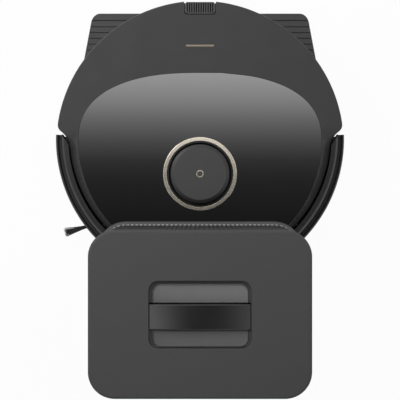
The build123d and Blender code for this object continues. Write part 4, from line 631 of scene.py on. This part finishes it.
# handle: nearly flat, with its ends level with the lid's top

handle = {"endLift": 0.0062, "endGap": 0.0006}


def reshapeHandle(bm):
    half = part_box("lid_handle")[1].x
    for vert in bm.verts:
        vert.co.z += handle["endLift"] * (vert.co.x / half) ** 2
        vert.co.x *= 1 - handle["endGap"] / half


reshapes["lid_handle"] = reshapeHandle


# lidar ring: its outer edge laps over the panel

lidarRing = {"outerEdge": 0.042, "lap": 0.0010}


def reshapeRing(bm):
    low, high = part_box("lidar_ring")
    for vert in bm.verts:
        out = Vector((vert.co.x - (low.x + high.x) / 2, vert.co.y - (low.y + high.y) / 2, 0))
        if out.length > lidarRing["outerEdge"]:
            vert.co += out.normalized() * lidarRing["lap"]


reshapes["lidar_ring"] = reshapeRing

for node, width in skins["rounding"].items():
    dressNode(node, width, reshapes.get(node))
print("skins made:", len(skins["rounding"]))


# scoop: a shadow gap round its rim, a shallow tray with painted light and shade along it, and a trough across
# it under the handle

scoop = {"corner": 0.0097, "innerCorner": 0.0088, "cornerSteps": 8,
         "rimSink": 0.0035, "rimRound": 0.0005, "depth": 0.0012, "sweep": 0.0008, "rings": 4,
         # widths of the shadow gap: left, right, front, rear
         "gap": (0.0034, 0.0026, 0.0009, 0.0032), "gapDepth": 0.0022, "gapFall": 0.0010,
         # the trough, and how far it goes past the handle's front and rear edges
         "trough": 0.0080, "troughSide": 0.0016, "troughPast": (0.0, 0.0013),
         "floorCuts": 13, "cutDistance": 1e-6, "underSlack": 1e-5,
         # painted light and shade: paleness of the tray from the front edge to the rear edge
         "paintedShadingStops": ((0.0, 0.15), (0.19, 0.19), (0.262, 0.03), (0.30, 0.0), (0.66, 0.25), (1.0, 0.72))}


def roundedLoop(bm, low, high, corner, height):
    grid = bmesh.ops.create_grid(bm, x_segments=1, y_segments=1, size=0.5)["verts"]
    bmesh.ops.scale(bm, verts=grid, vec=(high[0] - low[0], high[1] - low[1], 1))
    bmesh.ops.translate(bm, verts=grid, vec=((low[0] + high[0]) / 2, (low[1] + high[1]) / 2, height))
    before = set(bm.verts) - set(grid)
    bmesh.ops.bevel(bm, geom=grid, offset=corner, segments=scoop["cornerSteps"], profile=0.5,
                    affect="VERTICES", material=-1)
    verts = [vert for vert in bm.verts if vert not in before]
    face = verts[0].link_faces[0]
    edges = list(face.edges)
    bmesh.ops.delete(bm, geom=[face], context="FACES_ONLY")
    return edges


def loopVerts(loops):
    return set(vert for loop in loops for edge in loop for vert in edge.verts)


def blendStops(stops, place):
    for (start, first), (end, second) in zip(stops, stops[1:]):
        if place <= end:
            return blend(first, second, max(0.0, place - start) / (end - start))
    return stops[-1][1]


def makeScoop():
    low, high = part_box("lid_scoop")
    left, right, front, rear = scoop["gap"]
    rim = high.z - scoop["rimSink"]
    gapFloor = rim - scoop["gapDepth"]
    bm = bmesh.new()
    paintedShading = bm.verts.layers.float.new("paintedShading")

    def outerRing(height):
        return roundedLoop(bm, low, high, scoop["corner"], height)

    def innerRing(inset, height):
        # concentric for the loft, moved off centre afterwards
        across = (left + right) / 2 + inset
        along = (front + rear) / 2 + inset
        first = (low.x + across, low.y + along)
        last = (high.x - across, high.y - along)
        return roundedLoop(bm, first, last, scoop["innerCorner"] - inset, height)

    outside = [outerRing(low.z), outerRing(gapFloor + scoop["gapFall"])]
    gapSide = [innerRing(0, gapFloor), innerRing(0, rim - scoop["rimRound"])]
    bowl = [innerRing(scoop["rimRound"], rim)]
    for step in range(scoop["rings"] + 1):
        turn = pi / 2 * step / scoop["rings"]
        inset = 2 * scoop["rimRound"] + scoop["sweep"] * (1 - cos(turn))
        bowl.append(innerRing(inset, rim - scoop["rimRound"] - scoop["depth"] * sin(turn)))
    tray = loopVerts(bowl)
    inner = loopVerts(gapSide + bowl)
    loops = outside + gapSide + bowl
    for lower, upper in zip(loops, loops[1:]):
        bmesh.ops.bridge_loops(bm, edges=lower + upper)
    bmesh.ops.translate(bm, verts=list(inner), vec=((left - right) / 2, (front - rear) / 2, 0))
    bmesh.ops.contextual_create(bm, geom=loops[0])
    floor = bmesh.ops.contextual_create(bm, geom=loops[-1])["faces"]
    cuts = floor + list(floor[0].edges) + list(floor[0].verts)
    for cut in range(1, scoop["floorCuts"] + 1):
        place = blend(low.y, high.y, cut / (scoop["floorCuts"] + 1))
        made = bmesh.ops.bisect_plane(bm, geom=cuts, dist=scoop["cutDistance"], plane_co=(0, place, 0),
                                      plane_no=(0, 1, 0))
        cuts = made["geom"]
        tray |= set(item for item in made["geom_cut"] if isinstance(item, bmesh.types.BMVert))
    # painted light and painted shade along the tray, including the handle's painted shadow
    for vert in tray:
        vert[paintedShading] = blendStops(scoop["paintedShadingStops"], (vert.co.y - low.y) / (high.y - low.y))
    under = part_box("lid_handle")
    start = under[0].y - scoop["troughPast"][0]
    end = under[1].y + scoop["troughPast"][1]
    for place in (start, start + scoop["troughSide"], end - scoop["troughSide"], end):
        cutThrough(bm, (0, place, 0), (0, 1, 0), scoop["cutDistance"])
    for vert in bm.verts:
        inside = min(vert.co.y - start, end - vert.co.y) / scoop["troughSide"]
        if vert.co.z > low.z + scoop["underSlack"]:
            vert.co.z -= scoop["trough"] * clamp(inside)
    closePiece(bm, "lidScoop", "lid_scoop")


makeScoop()
print("scoop made")


# side brush: bound bundles that fan out into loose nylon tips

bristles = {"strandsPerBundle": 110, "bundles": 3, "root": 0.021, "reach": 0.073, "firstAngle": 195.5,
            "boundUntil": 0.45, "boundSize": (0.0032, 0.0026), "tipSize": (0.0116, 0.0042), "fanPower": 1.25,
            "thickness": 0.00032, "taper": 0.55, "sides": 3, "segments": 4, "raggedness": 0.05,
            "sharpAngle": 60.0, "seed": 7}


def makeBristles():
    low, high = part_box("side_brush_hub")
    tuftLow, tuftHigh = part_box("side_brush_bristles")
    hub = Vector(((low.x + high.x) / 2, (low.y + high.y) / 2, (tuftLow.z + tuftHigh.z) / 2))
    dice = Random(bristles["seed"])
    # one straight strand, a unit long about its middle, copied for every bristle
    bm = bmesh.new()
    bmesh.ops.create_cone(bm, segments=bristles["sides"], radius1=bristles["thickness"],
                          radius2=bristles["thickness"] * bristles["taper"], depth=1.0, cap_ends=True)
    lengthwise = [edge for edge in bm.edges if edge.calc_length() > 2 * bristles["thickness"]]
    bmesh.ops.subdivide_edges(bm, edges=lengthwise, cuts=bristles["segments"], use_grid_fill=True)
    single = keepMesh(bm, "strand")
    bm = bmesh.new()
    for bundle in range(bristles["bundles"]):
        heading = radians(bristles["firstAngle"] + 360 * bundle / bristles["bundles"])
        along = Vector((cos(heading), sin(heading), 0))
        across = Vector((-sin(heading), cos(heading), 0))
        for strand in range(bristles["strandsPerBundle"]):
            turn = dice.uniform(0, 2 * pi)
            spread = dice.random() ** 0.5 / 2  # even over a disc one unit wide
            side, lift = cos(turn) * spread, sin(turn) * spread
            length = (bristles["reach"] - bristles["root"]) * (1 - dice.random() * bristles["raggedness"])
            made = len(bm.verts)
            bm.from_mesh(single)
            bm.verts.ensure_lookup_table()
            for vert in bm.verts[made:]:
                share = vert.co.z + 0.5
                loose = max(0.0, (share - bristles["boundUntil"]) / (1 - bristles["boundUntil"]))
                fan = loose ** bristles["fanPower"]
                wide, tall = (blend(bound, tip, fan)
                              for bound, tip in zip(bristles["boundSize"], bristles["tipSize"]))
                place = hub + along * (bristles["root"] + share * length)
                place += across * (vert.co.y + side * wide)
                place.z += vert.co.x + lift * tall
                vert.co = place
    closePiece(bm, "sideBrushBristles", "side_brush_bristles", bristles["sharpAngle"])


makeBristles()


# dust bag: a filled paper bag with slumped sides and a creased top

bag = {"cuts": 22, "corner": 0.022, "cornerPower": 6, "slump": 0.004, "bulge": 0.005, "margin": 0.0035,
       "faceFrom": 0.99, "smoothing": 0.5, "sharpAngle": 70.0, "subdivision": 1,
       # depth of the creases, and how many waves they make each way
       "crease": 0.0011, "wavesAcross": (9, 4), "wavesUp": (7, -3), "wavesAskew": (17, 5), "askewShare": 0.6}


def creaseWave(first, second, waves):
    return sin(waves[0] * first + waves[1] * second)


def makeDustBag():
    low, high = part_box("dust_bag")
    middle = (low + high) / 2
    half = (high - low) / 2
    bm = bmesh.new()
    bmesh.ops.create_cube(bm, size=2.0)
    bmesh.ops.subdivide_edges(bm, edges=bm.edges, cuts=bag["cuts"], use_grid_fill=True)
    body = half - Vector((bag["margin"] + bag["bulge"],) * 2 + (bag["margin"],))
    core = body - Vector((bag["corner"],) * 3)
    for vert in bm.verts:
        spot = vert.co.copy()
        # each side crowns towards its middle, and the corners pull in
        midX, midY, midZ = (1 - value ** 2 for value in spot)
        crown = (midY * midZ, midX * midZ, midX * midY)
        inner = spot * core + spot.normalized() * bag["corner"]
        edgeness = sorted(abs(value) for value in spot)[1]
        place = (spot * body).lerp(inner, edgeness ** bag["cornerPower"])
        sag = bag["slump"] * (1 - spot.z) / 2
        for axis in (0, 1):
            if abs(spot[axis]) > bag["faceFrom"]:
                place[axis] += (1 if spot[axis] > 0 else -1) * (bag["bulge"] * crown[axis] + sag)
        ripple = creaseWave(spot.x, spot.y, bag["wavesAcross"]) * creaseWave(spot.y, spot.z, bag["wavesUp"])
        ripple += bag["askewShare"] * creaseWave(spot.x * spot.y, spot.z, bag["wavesAskew"])
        if spot.z > -bag["faceFrom"]:
            place += spot.normalized() * bag["crease"] * ripple
        if spot.z > bag["faceFrom"]:
            place.z -= bag["slump"] * (1 - crown[2])
        vert.co = middle + place
        vert.co.z = max(vert.co.z, low.z)
    bmesh.ops.smooth_vert(bm, verts=bm.verts, factor=bag["smoothing"], use_axis_x=True, use_axis_y=True,
                          use_axis_z=True)
    piece = closePiece(bm, "dustBag", "dust_bag", bag["sharpAngle"])
    folds = piece.modifiers.new("softFolds", "SUBSURF")
    folds.levels = bag["subdivision"]
    folds.render_levels = bag["subdivision"]


makeDustBag()
print("soft pieces made")


# floor, light and camera

stage = {"floorSize": 60.0, "floorColour": grey(0.86), "floorRough": 0.9, "floorSpecular": 0.1,
         "floorWhite": 0.96,
         # dim light from all round, by height from the horizon to overhead
         "horizon": 0.04, "zenith": 0.03, "horizonUntil": 0.2, "zenithFrom": 0.9}


def addSeenRays(tree):
    # rays that show the background: the camera's own, and those off gloss and through glass
    path = tree.nodes.new("ShaderNodeLightPath")
    seen = path.outputs["Is Camera Ray"]
    for kind in ("Is Glossy Ray", "Is Transmission Ray"):
        seen = addMaths(tree, "MAXIMUM", seen, path.outputs[kind])
    return seen


def makeFloor():
    bm = bmesh.new()
    bmesh.ops.create_grid(bm, x_segments=1, y_segments=1, size=stage["floorSize"] / 2)
    mesh = keepMesh(bm, "floor")
    floor = placeObject("floor", mesh)
    material, tree, shader = newMaterial("paleFloor")[:3]
    shader.inputs["Base Color"].default_value = (*stage["floorColour"], 1)
    shader.inputs["Roughness"].default_value = stage["floorRough"]
    shader.inputs["Specular IOR Level"].default_value = stage["floorSpecular"]
    white = tree.nodes.new("ShaderNodeEmission")
    mix = tree.nodes.new("ShaderNodeMixShader")
    tree.links.new(addRange(tree, addSeenRays(tree), 0, stage["floorWhite"], 0, 1), mix.inputs["Fac"])
    tree.links.new(shader.outputs[0], mix.inputs[1])
    tree.links.new(white.outputs[0], mix.inputs[2])
    tree.links.new(mix.outputs[0], tree.nodes["Material Output"].inputs["Surface"])
    mesh.materials.append(material)


ceiling = {"height": 2.0, "halfWidth": 1.3, "near": -1.3, "far": 1.2, "peak": 3.6,
           # light along the robot, as a share of the peak, by distance in metres from the middle
           "along": [(-0.10, 0.016), (0.04, 0.040), (0.095, 0.075), (0.151, 0.19), (0.208, 0.38),
                     (0.264, 0.66), (0.332, 0.95), (0.40, 1.0), (0.75, 1.0), (1.0, 0.2)],
           # side glows: where each starts and is full across, and where it rises and falls along the robot
           "sides": ({"level": 1.6, "across": (-0.46, -0.95), "rise": (-0.4, 0.2), "fall": (0.8, 1.2)},
                     {"level": 0.15, "across": (0.46, 0.95), "rise": (-0.4, 0.2), "fall": (0.8, 1.2)},
                     {"level": 3.0, "across": (-0.10, -0.36), "rise": (-0.46, -0.40), "fall": (-0.27, -0.21)},
                     {"level": 1.6, "across": (0.14, 0.40), "rise": (-0.46, -0.40), "fall": (-0.27, -0.21)})}


def makeCeiling():
    # one overhead sheet: bright behind the robot, dark over the dock, lit again to its left and right
    depth = ceiling["far"] - ceiling["near"]
    bm = bmesh.new()
    bmesh.ops.create_grid(bm, x_segments=1, y_segments=1, size=0.5)
    bmesh.ops.scale(bm, verts=bm.verts, vec=(2 * ceiling["halfWidth"], depth, 1))
    bmesh.ops.translate(bm, verts=bm.verts, vec=(0, ceiling["near"] + depth / 2, ceiling["height"]))
    mesh = keepMesh(bm, "ceiling")
    sheet = placeObject("ceiling", mesh)
    material, tree, shader, coords = newMaterial("ceilingLight")
    tree.nodes.remove(shader)  # the sheet only glows
    split = tree.nodes.new("ShaderNodeSeparateXYZ")
    tree.links.new(coords, split.inputs[0])
    ramp = tree.nodes.new("ShaderNodeValToRGB")
    stops = ceiling["along"]
    first, last = stops[0][0], stops[-1][0]
    while len(ramp.color_ramp.elements) < len(stops):
        ramp.color_ramp.elements.new(0.5)
    for element, (place, level) in zip(ramp.color_ramp.elements, stops):
        element.position = (place - first) / (last - first)
        element.color = (level, level, level, 1)
    tree.links.new(addRange(tree, split.outputs["Y"], 0, 1, first, last), ramp.inputs["Fac"])
    main = tree.nodes.new("ShaderNodeEmission")
    main.inputs["Strength"].default_value = ceiling["peak"]
    tree.links.new(ramp.outputs["Color"], main.inputs["Color"])
    total = main.outputs[0]
    for side in ceiling["sides"]:
        glow = tree.nodes.new("ShaderNodeEmission")
        strength = addRange(tree, split.outputs["X"], 0, side["level"], *side["across"])
        for ends in ((0, 1, *side["rise"]), (1, 0, *side["fall"])):
            strength = addMaths(tree, "MULTIPLY", strength, addRange(tree, split.outputs["Y"], *ends))
        tree.links.new(strength, glow.inputs["Strength"])
        both = tree.nodes.new("ShaderNodeAddShader")
        tree.links.new(total, both.inputs[0])
        tree.links.new(glow.outputs[0], both.inputs[1])
        total = both.outputs[0]
    tree.links.new(total, tree.nodes["Material Output"].inputs["Surface"])
    mesh.materials.append(material)


def makeWorld():
    world = bpy.data.worlds.new("studio")
    bpy.context.scene.world = world
    world.use_nodes = True
    tree = world.node_tree
    background = tree.nodes["Background"]
    background.inputs["Color"].default_value = (1, 1, 1, 1)
    coords = tree.nodes.new("ShaderNodeTexCoord")
    split = tree.nodes.new("ShaderNodeSeparateXYZ")
    tree.links.new(coords.outputs["Generated"], split.inputs[0])
    level = addRange(tree, split.outputs["Z"], stage["horizon"], stage["zenith"],
                     stage["horizonUntil"], stage["zenithFrom"])
    mix = tree.nodes.new("ShaderNodeMix")
    mix.inputs["B"].default_value = 1.0  # plain white where it is seen
    tree.links.new(addSeenRays(tree), mix.inputs["Factor"])
    tree.links.new(level, mix.inputs["A"])
    tree.links.new(mix.outputs["Result"], background.inputs["Strength"])


keyLamp = {"place": (-0.55, 0.50, 0.78), "aim": (0, -0.05, 0.2), "size": (0.45, 0.45), "watts": 3.6}


def makeKeyLamp():
    lamp = bpy.data.lights.new("keyLeft", "AREA")
    lamp.shape = "RECTANGLE"
    lamp.size, lamp.size_y = keyLamp["size"]
    lamp.energy = keyLamp["watts"]
    stand = placeObject("keyLeft", lamp)
    stand.location = keyLamp["place"]
    towards = Vector(keyLamp["aim"]) - Vector(keyLamp["place"])
    stand.rotation_euler = towards.to_track_quat("-Z", "Y").to_euler()


# straight down, with the lens matched to the photograph
camera = {"height": 1.518, "aimY": -0.01695, "focalPixels": 1179.0, "framePixels": 400.0, "sensor": 36.0}


def makeCamera():
    lens = bpy.data.cameras.new("photoCamera")
    lens.sensor_width = camera["sensor"]
    lens.lens = camera["focalPixels"] / camera["framePixels"] * camera["sensor"]
    tripod = placeObject("photoCamera", lens)
    tripod.location = (0, camera["aimY"], camera["height"])
    bpy.context.scene.camera = tripod


makeFloor()
makeCeiling()
makeWorld()
makeKeyLamp()
makeCamera()
bpy.context.scene.view_settings.view_transform = "Standard"
print("stage made")
